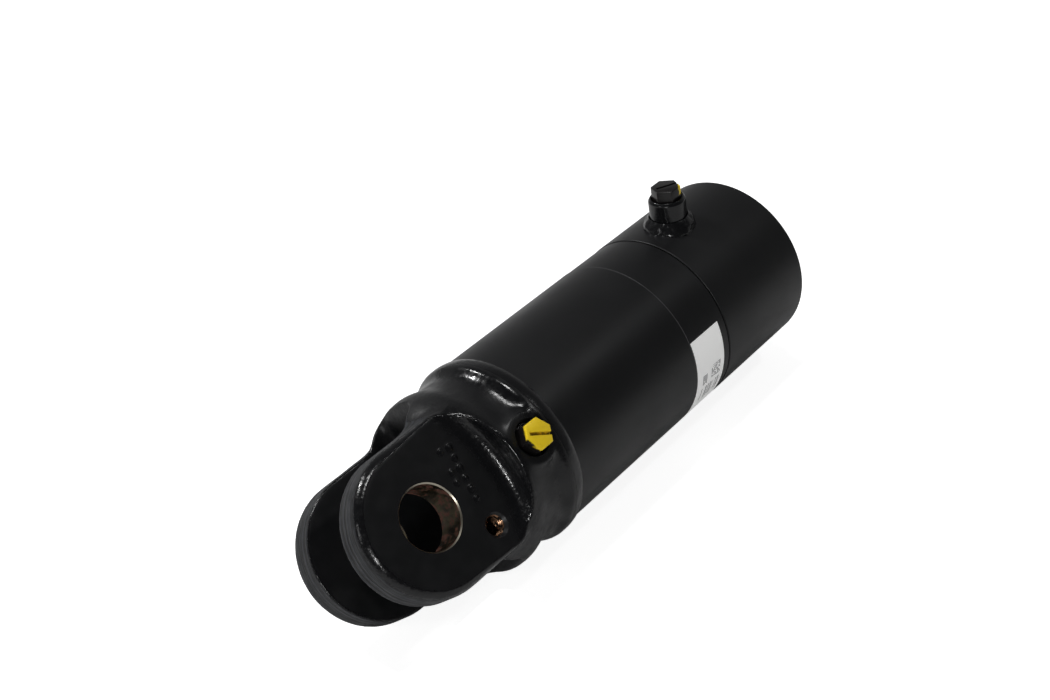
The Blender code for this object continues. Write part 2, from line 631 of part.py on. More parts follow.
def make_stage_two_nut(steel, parent):
    start, end = NUT_X, TWO_PISTON_X - GAP
    bore, blank_r = TWO_SPIGOT_R + GAP, NUT_ACROSS_FLATS
    blank = spin_profile([(start, bore), (start, blank_r), (end, blank_r), (end, bore)],
                         CORE_SEGMENTS)
    nut = add_object("stage_two_nut", blank, steel, parent)
    sides = prism(hexagon(NUT_ACROSS_FLATS), start - 5, end + 5)
    along = Matrix.Rotation(math.radians(90), 4, "Y")
    combine(nut, shaper("nut_hexagon", sides, parent, along), "INTERSECT")
    return nut


def main():
    clear_scene()
    paint = material("black_paint", (0.012, 0.012, 0.013), 0.38, 0.0)
    cast_paint = material("black_cast_paint", (0.014, 0.014, 0.015), 0.32, 0.0)
    steel = material("machined_steel", (0.42, 0.42, 0.43), 0.35, 1.0)
    chrome = material("chromed_steel", (0.62, 0.63, 0.65), 0.12, 1.0)
    rubber = material("black_seal_rubber", (0.02, 0.02, 0.02), 0.6, 0.0)
    bearing = material("guide_ring_resin", (0.35, 0.22, 0.11), 0.55, 0.0)
    yellow = material("yellow_plug_plastic", (0.85, 0.62, 0.03), 0.4, 0.0)
    sprayed = material("oversprayed_plug_plastic", (0.03, 0.027, 0.015), 0.35, 0.0)
    paper = material("label_film", (0.82, 0.82, 0.8), 0.4, 0.0)

    barrel = frame("barrel_frame")
    make_base_clevis(cast_paint, barrel)
    make_base_weld(paint, barrel)
    make_barrel_tube(paint, barrel)
    make_label(paper, barrel)
    make_head_housing(paint, barrel)
    make_head_port_boss(paint, barrel)
    make_head_port_weld(paint, barrel)
    make_head_gland(steel, barrel)
    make_head_seals(rubber, bearing, barrel)
    ports = (("base_port", at_port(BASE_PORT_X), BASE_PORT_FLOOR, yellow),
             ("head_port", at_port(HEAD_PORT_X, HEAD_PORT_ANGLE), HEAD_PORT_FLOOR, sprayed))
    for name, place, floor, finish in ports:
        seat = floor + GAP + PLUG_SEAL + GAP
        make_port_plug(f"{name}_plug", finish, barrel, place, seat)
        make_plug_seal(f"{name}_plug_seal", rubber, barrel, place, floor + GAP)

    stage_one = frame("stage_one_frame")
    make_stage_one_piston(steel, stage_one)
    make_stage_one_tube(chrome, stage_one)
    make_stage_one_gland(steel, stage_one)
    make_stage_one_seals(rubber, bearing, stage_one)

    stage_two = frame("stage_two_frame")
    make_stage_two_piston(steel, stage_two)
    make_stage_two_rod(chrome, stage_two)
    make_stage_two_nut(steel, stage_two)
    make_stage_two_seals(rubber, bearing, stage_two)


main()
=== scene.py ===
"""Looks for a two-stage telescopic hydraulic cylinder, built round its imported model.

Shapes are drawn in the cylinder's own frame, in millimetres: x runs from the pin hole to
the rod end, y is the pin's axis and z is square to both. TO_ROW puts them on the model.
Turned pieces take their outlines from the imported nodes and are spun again, finely and
with rounded edges. The forked base is cast, milled and drilled again from its sizes.
"""
import json
import math

import bmesh
import bpy
import numpy as np
from mathutils import Matrix, Vector, noise

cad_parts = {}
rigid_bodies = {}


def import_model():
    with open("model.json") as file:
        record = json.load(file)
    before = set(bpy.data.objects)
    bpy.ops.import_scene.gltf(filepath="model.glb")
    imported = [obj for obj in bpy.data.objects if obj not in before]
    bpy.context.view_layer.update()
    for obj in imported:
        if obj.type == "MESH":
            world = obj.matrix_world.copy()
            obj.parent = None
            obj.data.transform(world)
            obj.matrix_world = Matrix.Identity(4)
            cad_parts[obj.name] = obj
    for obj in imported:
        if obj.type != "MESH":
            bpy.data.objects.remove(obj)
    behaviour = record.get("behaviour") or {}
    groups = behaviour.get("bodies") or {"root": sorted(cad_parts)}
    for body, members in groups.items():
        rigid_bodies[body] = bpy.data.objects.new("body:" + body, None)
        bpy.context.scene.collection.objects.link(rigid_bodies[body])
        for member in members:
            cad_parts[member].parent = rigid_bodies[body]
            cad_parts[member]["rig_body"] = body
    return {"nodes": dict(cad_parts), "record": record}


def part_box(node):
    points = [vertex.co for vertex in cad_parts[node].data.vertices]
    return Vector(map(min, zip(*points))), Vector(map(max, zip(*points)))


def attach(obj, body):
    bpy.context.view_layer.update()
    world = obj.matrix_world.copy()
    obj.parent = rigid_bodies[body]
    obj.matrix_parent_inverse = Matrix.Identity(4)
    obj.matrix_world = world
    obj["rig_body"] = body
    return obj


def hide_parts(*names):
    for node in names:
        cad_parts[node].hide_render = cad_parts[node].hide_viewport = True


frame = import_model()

MM = 0.001
FINE = 192                     # sides of the outer round pieces
MEDIUM = 128                   # sides of the pieces inside
ARC_STEPS = 3                  # steps round a softened corner
SHARP = math.radians(50)
ON_AXIS = 0.01                 # a ring closer to its axis than this is a single point

RECORD = frame["record"]
MOUNTS = {mount["name"]: mount for mount in RECORD["mounts"]}
SLOT_OF = {part["node"]: part["material_slot"] for part in RECORD["subparts"]}
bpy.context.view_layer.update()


# ---- Places and sizes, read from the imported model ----

def local_frame():
    """From millimetres in the cylinder's own frame to metres in the model's."""
    lowest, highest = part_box("barrel_tube")
    front = MOUNTS["front_ear_outer_face"]
    along, pin = Vector((1, 0, 0)), -Vector(front["axis"]).normalized()
    turned = Matrix((along, pin, along.cross(pin))).transposed().to_4x4()
    turned.translation = (front["pos_m"][0], 0, (lowest.z + highest.z) / 2)
    return turned @ Matrix.Scale(MM, 4)


TO_ROW = local_frame()
TO_LOCAL = TO_ROW.inverted()
AXIS_HEIGHT = TO_ROW.translation.z


def local_point(mount):
    return TO_LOCAL @ Vector(MOUNTS[mount]["pos_m"])


def local_box(node):
    """Lowest and highest x of a node, in the cylinder's own millimetres."""
    lowest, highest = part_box(node)
    return (TO_LOCAL @ lowest).x, (TO_LOCAL @ highest).x


NOSE_R = -local_box("base_clevis")[0]
CASTING_END_X = local_box("base_clevis")[1]
EAR_FACE = -local_point("front_ear_outer_face").y
EAR_GAP = -local_point("front_ear_inner_face").y
COLLAR_END_X = local_box("base_weld")[0] - 0.3
COLLAR_R = (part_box("base_clevis")[1].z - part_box("base_clevis")[0].z) / 2 / MM
BARREL_R = (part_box("head_housing")[1].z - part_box("head_housing")[0].z) / 2 / MM
RIM_FIT = BARREL_R / 55.0      # keeps fine rims inside the box of the many-sided ones
SPIGOT_R = 47.2
BAND_R = 54.75                 # the turned band of the barrel, under the label
LINE_A_X = 197.8               # where the barrel's turned band begins
WELD_OVERLAP = 0.9             # the weld is fused with the casting: no seam shows

# The fork and its machining
PIN_R, PIN_CHAMFER = 17.5, 0.7
KEEPER_X, KEEPER_Z = 29.0, -24.5
KEEPER_MINOR_R, KEEPER_MAJOR_R, KEEPER_PITCH = 5.1, 5.9, 1.75
EAR_CHAMFER = 4.2
ROOT_START_X, ROOT_END_X, ROOT_END_Z = 36.0, 56.0, 29.0
FACING_CENTRE_X, FACING_R, FACING_FILLET = -43.5, 97.0, 9.0
THROAT_X, THROAT_CORNER_R = 45.0, 6.0
NECK_R, NECK_START_X, NECK_END_X = 52.0 * RIM_FIT, 66.5, 73.0
SHOULDER_FOOT_X, SHOULDER_FOOT_R = 29.0, 40.0
SHOULDER_X, SHOULDER_R = 51.5, 54.9 * RIM_FIT
COLLAR_X = 79.2
FAR_OUT = 80.0                 # past every surface: where cutting solids end

# Ports
BASE_PORT_X = sum(local_box("base_port_plug")) / 2
BASE_BOSS_TOP = -local_point("base_port_face").y
BASE_PORT_OUT = Vector((0, -1, 0))
HEAD_PORT_X = sum(local_box("head_port_boss")) / 2
HEAD_PORT_TURN = math.radians(52)      # from the base port's side towards +z
HEAD_PORT_OUT = Vector((0, -math.cos(HEAD_PORT_TURN), math.sin(HEAD_PORT_TURN)))
HEAD_BOSS_TOP = 73.0
PORT_RECESS = 6.5              # from a boss's face down to the plug's seat
BASE_SPOT_R, HEAD_SPOT_R, PORT_THREAD_R = 10.5, 9.4, 5.9
HEAD_BOSS_R = 11.3
PLUG_SHANK_R, PLUG_SHANK = 5.6, 9.5
PLUG_FLANGE_R, PLUG_FLANGE = 9.0, 1.8
PLUG_HEX_ACROSS_FLATS, PLUG_HEX = 15.5, 9.5
PLUG_SEAT = 2.0                # from the spot face up to the flange
PLUG_SLOT_HALF_WIDTH, PLUG_SLOT_DEPTH = 0.95, 1.8
PLUG_SLOT_FLOOR = -5.9         # how far beyond the plug's axis the slot runs, one way
PLUG_SLOT_TURN = math.radians(-30)

# Far end
ROD_THREAD_MINOR_R, ROD_THREAD_MAJOR_R, ROD_THREAD_PITCH = 10.5, 11.9, 3.0
ROD_THREAD_DEPTH = 31.0
ROD_FLATS, ROD_FLATS_LENGTH = 44.0, 6.5


# ---- Building solids ----

def outline_of(node):
    """The (x, radius) outline of a turned node, in order, and whether it closes."""
    mesh = bmesh.new()
    mesh.from_mesh(frame["nodes"][node].data)
    mesh.transform(TO_LOCAL)
    same_place = 0.002
    bmesh.ops.remove_doubles(mesh, verts=mesh.verts, dist=same_place)
    spokes, centre = {}, []
    for corner in mesh.verts:
        if math.hypot(corner.co.y, corner.co.z) < ON_AXIS:
            centre.append(corner)
            continue
        half_degrees = round(math.degrees(math.atan2(corner.co.z, corner.co.y)) * 2)
        spokes.setdefault(half_degrees, []).append(corner)
    spoke = max(spokes.values(), key=len) + centre
    ways = {c: [e.other_vert(c) for e in c.link_edges if e.other_vert(c) in spoke]
            for c in spoke}
    ends = [c for c in spoke if len(ways[c]) == 1]
    start = min(ends or spoke, key=lambda c: c.co.x)
    path, before, here = [start], None, start
    while True:
        onward = [c for c in ways[here] if c is not before]
        if not onward or onward[0] is start:
            break
        before, here = here, onward[0]
        path.append(here)
    points = [(c.co.x, math.hypot(c.co.y, c.co.z)) for c in path]
    mesh.free()
    return points, not ends


def soften(outline, closed, size):
    """Rounds an outline's corners; a point just past each arc keeps the runs flat."""
    past_arc = 1.3
    share_of_run = 0.35
    straight = math.radians(166)
    rounded = []
    for i, point in enumerate(outline):
        here = Vector(point)
        if not closed and i in (0, len(outline) - 1):
            rounded.append(here)
            continue
        back = Vector(outline[i - 1]) - here
        on = Vector(outline[(i + 1) % len(outline)]) - here
        if back.angle(on) > straight:
            rounded.append(here)
            continue
        reach = min(size, share_of_run * back.length, share_of_run * on.length)
        back, on = back.normalized() * reach, on.normalized() * reach
        rounded.append(here + back * past_arc)
        for step in range(ARC_STEPS + 1):
            t = step / ARC_STEPS
            rounded.append(here + back * (1 - t) ** 2 + on * t ** 2)
        rounded.append(here + on * past_arc)
    return [(p.x, p.y) for p in rounded]


def bridge(solid, lower, upper):
    """Faces between two rings, either of which may be a single point."""
    count = max(len(lower), len(upper))
    for i in range(count):
        j = (i + 1) % count
        corners = [lower[i % len(lower)], lower[j % len(lower)],
                   upper[j % len(upper)], upper[i % len(upper)]]
        solid.faces.new(list(dict.fromkeys(corners)))


def lathe(outline, closed=True, segments=FINE, ripple=None):
    """Turns an (x, radius) outline about x. ripple(x, radius, angle) moves the surface."""
    solid = bmesh.new()
    rings = []
    for x, radius in outline:
        if radius < ON_AXIS:
            rings.append([solid.verts.new((x, 0, 0))])
            continue
        ring = []
        for i in range(segments):
            angle = math.tau * (i + 0.5) / segments
            reach = radius + (ripple(x, radius, angle) if ripple else 0.0)
            ring.append(solid.verts.new((x, reach * math.cos(angle), reach * math.sin(angle))))
        rings.append(ring)
    for lower, upper in zip(rings, rings[1:]):
        bridge(solid, lower, upper)
    if closed:
        bridge(solid, rings[-1], rings[0])
    else:
        for ring in (rings[0], rings[-1]):
            if len(ring) > 1:
                solid.faces.new(ring)
    bmesh.ops.recalc_face_normals(solid, faces=solid.faces)
    return solid


def loft(rings):
    """A closed solid through rings of points with equal counts, capped at both ends."""
    solid = bmesh.new()
    loops = [[solid.verts.new(point) for point in ring] for ring in rings]
    for lower, upper in zip(loops, loops[1:]):
        bridge(solid, lower, upper)
    solid.faces.new(loops[0])
    solid.faces.new(loops[-1])
    bmesh.ops.recalc_face_normals(solid, faces=solid.faces)
    return solid


def prism(outline, low, high):
    return loft([[(u, v, level) for u, v in outline] for level in (low, high)])


def box(low, high):
    (x0, y0, z0), (x1, y1, z1) = low, high
    return prism([(x0, y0), (x1, y0), (x1, y1), (x0, y1)], z0, z1)


def screw_thread(minor, major, pitch, low, high, segments=64, steps_per_turn=8):
    """The solid that fills a tapped hole, from x low to high, with a helical V thread."""
    steepness = 2.3                # over 2, so that the roots are flat
    rows = round((high - low) / pitch * steps_per_turn)
    rings = []
    for row in range(rows + 1):
        x = low + (high - low) * row / rows
        ring = []
        for i in range(segments):
            angle = math.tau * i / segments
            phase = (x / pitch - angle / math.tau) % 1.0
            depth = min(1.0, steepness * (0.5 - abs(phase - 0.5)))
            radius = minor + (major - minor) * depth
            ring.append((x, radius * math.cos(angle), radius * math.sin(angle)))
        rings.append(ring)
    return loft(rings)


def turned_to(solid, matrix):
    bmesh.ops.transform(solid, matrix=matrix, verts=solid.verts)
    return solid


def port_frame(x, outward):
    """+x along a port's own outward axis, +y along the cylinder."""
    along = Vector((1, 0, 0))
    frame_of_port = Matrix((outward, along, outward.cross(along))).transposed().to_4x4()
    return Matrix.Translation((x, 0, 0)) @ frame_of_port


def to_object(name, solid):
    mesh = bpy.data.meshes.new(name)
    solid.to_mesh(mesh)
    solid.free()
    item = bpy.data.objects.new(name, mesh)
    bpy.context.scene.collection.objects.link(item)
    return item


def apply_modifiers(item):
    """Replaces an object's mesh by what its modifiers make of it."""
    bpy.context.view_layer.update()
    seen = item.evaluated_get(bpy.context.evaluated_depsgraph_get())
    old, item.data = item.data, bpy.data.meshes.new_from_object(seen)
    item.modifiers.clear()
    bpy.data.meshes.remove(old)
    return item


def cut(item, *tools, operation="DIFFERENCE"):
    """Cuts solids out of an object, one after the other."""
    shapes = [to_object("cutter", tool) for tool in tools]
    for shape in shapes:
        step = item.modifiers.new("cut", "BOOLEAN")
        step.object, step.operation, step.solver = shape, operation, "EXACT"
    apply_modifiers(item)
    for shape in shapes:
        bpy.data.objects.remove(shape, do_unlink=True)
    return item


def remesh(item, size):
    step = item.modifiers.new("remesh", "REMESH")
    step.mode, step.voxel_size, step.adaptivity = "VOXEL", size, 0.0
    return apply_modifiers(item)


def stand_in(node, item, finishes, corner=SHARP):
    """Puts a finished object, drawn in millimetres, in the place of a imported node."""
    item.name = item.data.name = f"fine_{node}"
    item.data.transform(TO_ROW)
    if not item.data.materials:
        for finish in finishes:
            item.data.materials.append(finish)
    item.data.shade_smooth()
    item.data.set_sharp_from_angle(angle=corner)
    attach(item, frame["nodes"][node]["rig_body"])
    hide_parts(node)
    return item


# ---- Materials ----

class Shading:
    """A node tree under construction, with short ways to add and wire its nodes."""

    def __init__(self, owner):
        owner.use_nodes = True
        self.tree = owner.node_tree

    def feed(self, socket, value):
        if isinstance(value, bpy.types.NodeSocket):
            self.tree.links.new(value, socket)
        else:
            socket.default_value = value

    def node(self, kind, inputs=None, **settings):
        made = self.tree.nodes.new(kind)
        for key, value in settings.items():
            setattr(made, key, value)
        for key, value in (inputs or {}).items():
            self.feed(made.inputs[key], value)
        return made

    def spread(self, value, low, high, to_low=0.0, to_high=1.0):
        """Maps low..high to to_low..to_high, smoothly and with the ends held."""
        return self.node("ShaderNodeMapRange", {"Value": value, "From Min": low,
                         "From Max": high, "To Min": to_low, "To Max": to_high},
                         interpolation_type="SMOOTHSTEP").outputs["Result"]

    def maths(self, operation, a, b=0.0):
        return self.node("ShaderNodeMath", {0: a, 1: b}, operation=operation).outputs[0]

    def times(self, a, b):
        return self.maths("MULTIPLY", a, b)

    def vector(self, operation, a, b=(0, 0, 0), output="Vector"):
        return self.node("ShaderNodeVectorMath", {0: a, 1: b},
                         operation=operation).outputs[output]

    def parts(self, value):
        return self.node("ShaderNodeSeparateXYZ", {0: value}).outputs


class Finish(Shading):
    """A material, whose marks and stains sit still on the piece."""

    def __init__(self, name, colour, roughness, metallic=0.0, **constants):
        self.material = bpy.data.materials.new(name)
        super().__init__(self.material)
        self.shader = self.tree.nodes["Principled BSDF"]
        self.set("Base Color", (*colour, 1.0))
        self.set("Roughness", roughness)
        self.set("Metallic", metallic)
        for socket, value in constants.items():
            self.set(socket.replace("_", " "), value)
        self.where = self.node("ShaderNodeTexCoord").outputs["Object"]
        self.normal = None

    def set(self, socket, value):
        self.feed(self.shader.inputs[socket], value)

    def noise(self, size_mm, detail=3.0, rough=0.5, where=None):
        """Cloudy values from 0 to 1 whose features are about size_mm wide."""
        return self.node("ShaderNodeTexNoise", {"Vector": where or self.where,
                         "Scale": 1 / (size_mm * MM), "Detail": detail,
                         "Roughness": rough}).outputs["Fac"]

    def mix(self, share, a, b):
        a, b = [v if isinstance(v, bpy.types.NodeSocket) else (*v, 1.0) for v in (a, b)]
        return self.node("ShaderNodeMix", {0: share, 6: a, 7: b}, data_type="RGBA").outputs[2]

    def bump(self, height, strength, depth_mm):
        inputs = {"Height": height, "Strength": strength, "Distance": depth_mm * MM}
        if self.normal:
            inputs["Normal"] = self.normal
        self.normal = self.node("ShaderNodeBump", inputs).outputs["Normal"]
        self.set("Normal", self.normal)

    def attribute(self, name):
        return self.node("ShaderNodeAttribute", attribute_name=name).outputs["Fac"]

    def distance_along(self, direction, origin):
        """Millimetres from a point along a direction, both in the model's frame."""
        from_origin = self.vector("SUBTRACT", self.where, tuple(origin))
        along = self.vector("DOT_PRODUCT", from_origin, tuple(direction), "Value")
        return self.maths("DIVIDE", along, MM)

    def turning(self):
        """A value that is the same all round a tool mark left by turning."""
        from_axis = self.vector("SUBTRACT", self.where, (0, 0, AXIS_HEIGHT))
        across = self.vector("MULTIPLY", from_axis, (0, 1, 1))
        radius = self.vector("LENGTH", across, output="Value")
        return self.maths("ADD", self.parts(self.where)["X"], radius)

    def rings(self, size_mm, detail=2.0):
        line = self.node("ShaderNodeCombineXYZ", {"X": self.turning()}).outputs[0]
        return self.noise(size_mm, detail, where=line)


BLACK = (0.0055, 0.0057, 0.0064)
PAINT_GLOSS = 0.34             # specular level of the black paint


def barrel_paint():
    """Satin black machine paint with a faint orange peel, and a painted highlight along one
    line.
    """
    paint = Finish("barrel_black_paint", BLACK, 0.4, Specular_IOR_Level=PAINT_GLOSS)
    cloud = paint.noise(60, 4)
    paint.set("Roughness", paint.spread(cloud, 0.3, 0.7, 0.36, 0.46))
    dust = paint.spread(paint.noise(0.5, 1), 0.72, 0.8)
    line_a = TO_ROW @ Vector((LINE_A_X, 0, 0))
    from_line = paint.maths("ABSOLUTE", paint.distance_along((1, 0, 0), line_a))
    # A lighter band at line A, broken up by noise: a painted highlight for the light that the
    # band's step edge catches.
    near_line_a = paint.spread(from_line, 0.15, 0.5, 0.85, 0.0)
    line_a_highlight = paint.times(near_line_a, paint.spread(paint.noise(16, 3), 0.3, 0.6, 0.35, 1.0))
    dusty = paint.mix(dust, BLACK, (0.03, 0.03, 0.03))
    paint.set("Base Color", paint.mix(line_a_highlight, dusty, (0.11, 0.11, 0.115)))
    paint.bump(paint.noise(0.9, 2), 0.10, 0.05)
    paint.bump(paint.noise(7.0, 2), 0.15, 0.12)
    return paint.material


def casting_paint():
    """The same paint, glossier over the casting's pebbled skin, and matt on milled rims."""
    paint = Finish("casting_black_paint", BLACK, 0.25, Specular_IOR_Level=PAINT_GLOSS)
    cloud = paint.spread(paint.noise(9, 4), 0.35, 0.7, 0.34, 0.44)
    glossy = paint.spread(paint.noise(3, 2), 0.3, 0.7, 0.13, 0.26)
    both = paint.node("ShaderNodeMix", {0: paint.attribute("gloss"), 2: cloud, 3: glossy},
                      data_type="FLOAT")
    rim = paint.attribute("rim")
    paint.set("Roughness", paint.maths("ADD", both.outputs[0], paint.times(rim, 0.2)))
    paint.bump(paint.noise(0.8, 2), 0.18, 0.06)
    pebbles = paint.times(paint.noise(1.5, 2), paint.attribute("cast_skin"))
    paint.bump(pebbles, 0.6, 0.4)
    wear = paint.spread(paint.noise(0.7, 2), 0.7, 0.78)
    worn = paint.mix(wear, BLACK, (0.022, 0.022, 0.024))
    pin_way = TO_ROW.to_3x3() @ Vector((0, 1, 0)) / MM
    across = paint.times(paint.distance_along(pin_way, TO_ROW.translation), MM)
    wander = paint.times(paint.noise(14, 2), 3.5 * MM)
    lines = paint.node("ShaderNodeCombineXYZ", {"X": across, "Y": wander})
    cuts = paint.noise(2.0, 3, where=lines.outputs[0])
    scored = paint.times(paint.spread(cuts, 0.46, 0.58), rim)
    paint.set("Base Color", paint.mix(scored, worn, (0.022, 0.024, 0.029)))
    paint.bump(paint.times(cuts, rim), 1.0, 0.9)
    return paint.material


def weld_paint():
    paint = Finish("weld_black_paint", BLACK, 0.2, Specular_IOR_Level=0.4)
    paint.bump(paint.noise(1.8, 3), 0.35, 0.25)
    return paint.material


def bore_steel():
    """Bare reamed steel gone golden brown, with rust where it was left wet."""
    steel = Finish("bore_steel", (0.30, 0.22, 0.12), 0.38, 1.0)
    patches = steel.spread(steel.noise(7, 4, 0.6), 0.35, 0.65)
    gold = steel.mix(patches, (0.082, 0.066, 0.030), (0.024, 0.018, 0.009))
    rust = steel.spread(steel.noise(5, 5, 0.65), 0.48, 0.58)
    steel.set("Base Color", steel.mix(rust, gold, (0.11, 0.038, 0.022)))
    steel.set("Metallic", steel.spread(rust, 0.0, 1.0, 1.0, 0.1))
    steel.set("Roughness", steel.spread(rust, 0.0, 1.0, 0.34, 0.75))
    steel.bump(steel.noise(0.7, 2), 0.3, 0.08)
    return steel.material


def edge_steel():
    """The bright ring where a chamfer was cut through the paint."""
    steel = Finish("edge_steel", (0.40, 0.37, 0.30), 0.3, 1.0)
    steel.bump(steel.noise(1.0, 2), 0.2, 0.05)
    return steel.material


def thread_steel():
    """A tapped hole: warm bare steel with random patches of dark paint and grime."""
    steel = Finish("thread_steel", (0.42, 0.26, 0.15), 0.3, 1.0)
    grime = steel.spread(steel.noise(2.5, 3), 0.42, 0.6)
    steel.set("Base Color", steel.mix(grime, (0.30, 0.17, 0.10), (0.012, 0.010, 0.009)))
    steel.set("Roughness", steel.spread(grime, 0.0, 1.0, 0.26, 0.6))
    return steel.material


def machined_steel():
    steel = Finish("turned_steel", (0.40, 0.40, 0.41), 0.3, 1.0)
    marks = steel.rings(0.35)
    tone = steel.spread(steel.noise(14, 3), 0.3, 0.7)
    steel.set("Base Color", steel.mix(tone, (0.44, 0.44, 0.45), (0.33, 0.32, 0.31)))
    steel.set("Roughness", steel.spread(marks, 0.3, 0.7, 0.24, 0.40))
    steel.bump(marks, 0.5, 0.03)
    return steel.material


def chrome():
    """Ground hard chrome under a film of oil."""
    plate = Finish("hard_chrome", (0.56, 0.57, 0.59), 0.1, 1.0)
    marks = plate.rings(0.25)
    film = plate.noise(22, 4)
    plate.set("Roughness", plate.spread(film, 0.35, 0.65, 0.06, 0.16))
    plate.bump(marks, 0.12, 0.01)
    return plate.material


def seal_rubber():
    rubber = Finish("seal_rubber", (0.018, 0.018, 0.019), 0.55)
    rubber.set("Roughness", rubber.spread(rubber.noise(4, 3), 0.3, 0.7, 0.42, 0.62))
    rubber.bump(rubber.noise(0.4, 2), 0.2, 0.03)
    return rubber.material


def guide_resin():
    """Fabric-filled resin, whose weave shows faintly."""
    resin = Finish("guide_resin", (0.34, 0.2, 0.09), 0.5)
    weave = resin.node("ShaderNodeTexChecker", {"Vector": resin.where, "Scale": 1100.0})
    tone = resin.mix(weave.outputs["Fac"], (0.36, 0.22, 0.10), (0.27, 0.15, 0.065))
    resin.set("Base Color", tone)
    resin.bump(resin.noise(0.6, 2), 0.3, 0.05)
    return resin.material


def plug_plastic(name, outward, port_x, paint_below, paint_side):
    """Moulded yellow plastic under black overspray.

    Paint covers it below a height over the axis, and on the side that paint_side faces.
    """
    out = (TO_ROW.to_3x3() @ outward).normalized()
    centre = TO_ROW @ Vector((port_x, 0, 0))
    plastic = Finish(name, (0.86, 0.60, 0.02), 0.34, IOR=1.5,
                     Specular_IOR_Level=0.38)
    height = plastic.distance_along(out, centre)
    ragged = plastic.times(plastic.noise(2.2, 4), 1.6)
    low = plastic.spread(plastic.maths("SUBTRACT", height, ragged), paint_below,
                         paint_below + 1.2, 1.0, 0.0)
    way, reach = paint_side
    facing = TO_ROW.to_3x3() @ (way - outward * way.dot(outward))
    facing.normalize()
    side = plastic.distance_along(facing, centre)
    beyond = plastic.spread(plastic.maths("ADD", side, ragged), reach, reach + 0.9)
    share = plastic.maths("MAXIMUM", low, beyond)
    grime = plastic.spread(plastic.noise(3.2, 4), 0.55, 0.75, 0.0, 0.25)
    yellow = plastic.mix(grime, (0.98, 0.70, 0.02), (0.55, 0.33, 0.02))
    plastic.set("Base Color", plastic.mix(share, yellow, (0.007, 0.006, 0.006)))
    plastic.set("Roughness", plastic.spread(share, 0.0, 1.0, 0.36, 0.3))
    plastic.bump(plastic.noise(1.1, 2), 0.15, 0.08)
    return plastic.material


def label_film():
    """White film with generic grey marks: rows of short dashes, a block and bars."""
    film = Finish("label_film", (0.80, 0.80, 0.79), 0.38)
    place = film.parts(film.node("ShaderNodeUVMap").outputs["UV"])
    u, v = place["X"], place["Y"]

    def patch(u0, u1, v0, v1):
        inside = [film.maths("GREATER_THAN", u, u0), film.maths("LESS_THAN", u, u1),
                  film.maths("GREATER_THAN", v, v0), film.maths("LESS_THAN", v, v1)]
        return film.times(film.times(inside[0], inside[1]), film.times(inside[2], inside[3]))

    def strokes(scale_u, scale_v, share):
        """Cells of a grid, each of them inked or not at random."""
        cell = film.node("ShaderNodeCombineXYZ", {
            "X": film.maths("FLOOR", film.times(u, scale_u)),
            "Y": film.maths("FLOOR", film.times(v, scale_v))}).outputs[0]
        chance = film.node("ShaderNodeTexWhiteNoise", {"Vector": cell}).outputs["Value"]
        row = film.maths("FRACT", film.times(v, scale_v))
        return film.times(film.maths("LESS_THAN", chance, share),
                          film.maths("LESS_THAN", row, 0.72))

    dashes = film.times(strokes(90, 24, 0.7), patch(0.40, 0.57, 0.52, 0.86))
    block = film.times(strokes(90, 24, 0.92), patch(0.44, 0.57, 0.20, 0.38))
    bars = film.times(strokes(1, 40, 0.55), patch(0.61, 0.80, 0.16, 0.88))
    ink = film.maths("MAXIMUM", film.maths("MAXIMUM", dashes, block), bars)
    ink = film.times(ink, 0.92)
    printed = film.mix(ink, (0.93, 0.93, 0.92), (0.12, 0.12, 0.13))
    film.set("Base Color", printed)
    # The film glows faintly in its own colours: painted brightness, since no lamp lights it this
    # much.
    film.set("Emission Color", printed)
    film.set("Emission Strength", 0.2)
    film.bump(film.noise(6, 2), 0.15, 0.08)
    return film.material


BARREL_PAINT = barrel_paint()
CASTING_PAINT = casting_paint()
WELD_PAINT = weld_paint()
YELLOW_PLUG = plug_plastic("yellow_plug_plastic", BASE_PORT_OUT, BASE_PORT_X, 58.6,
                           (Vector((-1, 0, -0.25)), 7.9))
SPRAYED_PLUG = plug_plastic("sprayed_plug_plastic", HEAD_PORT_OUT, HEAD_PORT_X, 73.5,
                            (Vector((-0.63, 0.6, 0.48)), -7.2))
FINISH_OF_SLOT = {
    "black_cast_paint": CASTING_PAINT, "black_paint": BARREL_PAINT,
    "machined_steel": machined_steel(), "chromed_steel": chrome(),
    "black_seal_rubber": seal_rubber(), "guide_ring_resin": guide_resin(),
    "yellow_plug_plastic": YELLOW_PLUG, "oversprayed_plug_plastic": SPRAYED_PLUG,
    "label_film": label_film()}


# ---- The forked casting ----

def quarter_turn(steps):
    """Cosine and sine at each step of a quarter turn, ends included."""
    turns = [math.radians(90) * i / steps for i in range(steps + 1)]
    return [(math.cos(turn), math.sin(turn)) for turn in turns]


def ease(start, end, steps):
    """Points of an S-shaped stretch between two (x, radius) points, ends included."""
    points = []
    for i in range(steps + 1):
        share = (1 - math.cos(math.pi * i / steps)) / 2
        points.append((start[0] + (end[0] - start[0]) * i / steps,
                       start[1] + (end[1] - start[1]) * share))
    return points


def casting_body():
    """The turned part: root, shoulder, neck, collar and the spigot inside the barrel."""
    shoulder = [(SHOULDER_X - (SHOULDER_X - SHOULDER_FOOT_X) * cosine,
                 SHOULDER_FOOT_R + (SHOULDER_R - SHOULDER_FOOT_R) * sine)
                for cosine, sine in quarter_turn(16)]
    waist = ease((SHOULDER_X, SHOULDER_R), (NECK_START_X, NECK_R), 10)[1:]
    flare = ease((NECK_END_X, NECK_R), (COLLAR_X, COLLAR_R), 10)
    end = COLLAR_END_X + WELD_OVERLAP
    return lathe([(SHOULDER_FOOT_X, 0)] + shoulder + waist + flare + [
        (end, COLLAR_R), (end, SPIGOT_R), (CASTING_END_X, SPIGOT_R),
        (CASTING_END_X, 0)], closed=False)


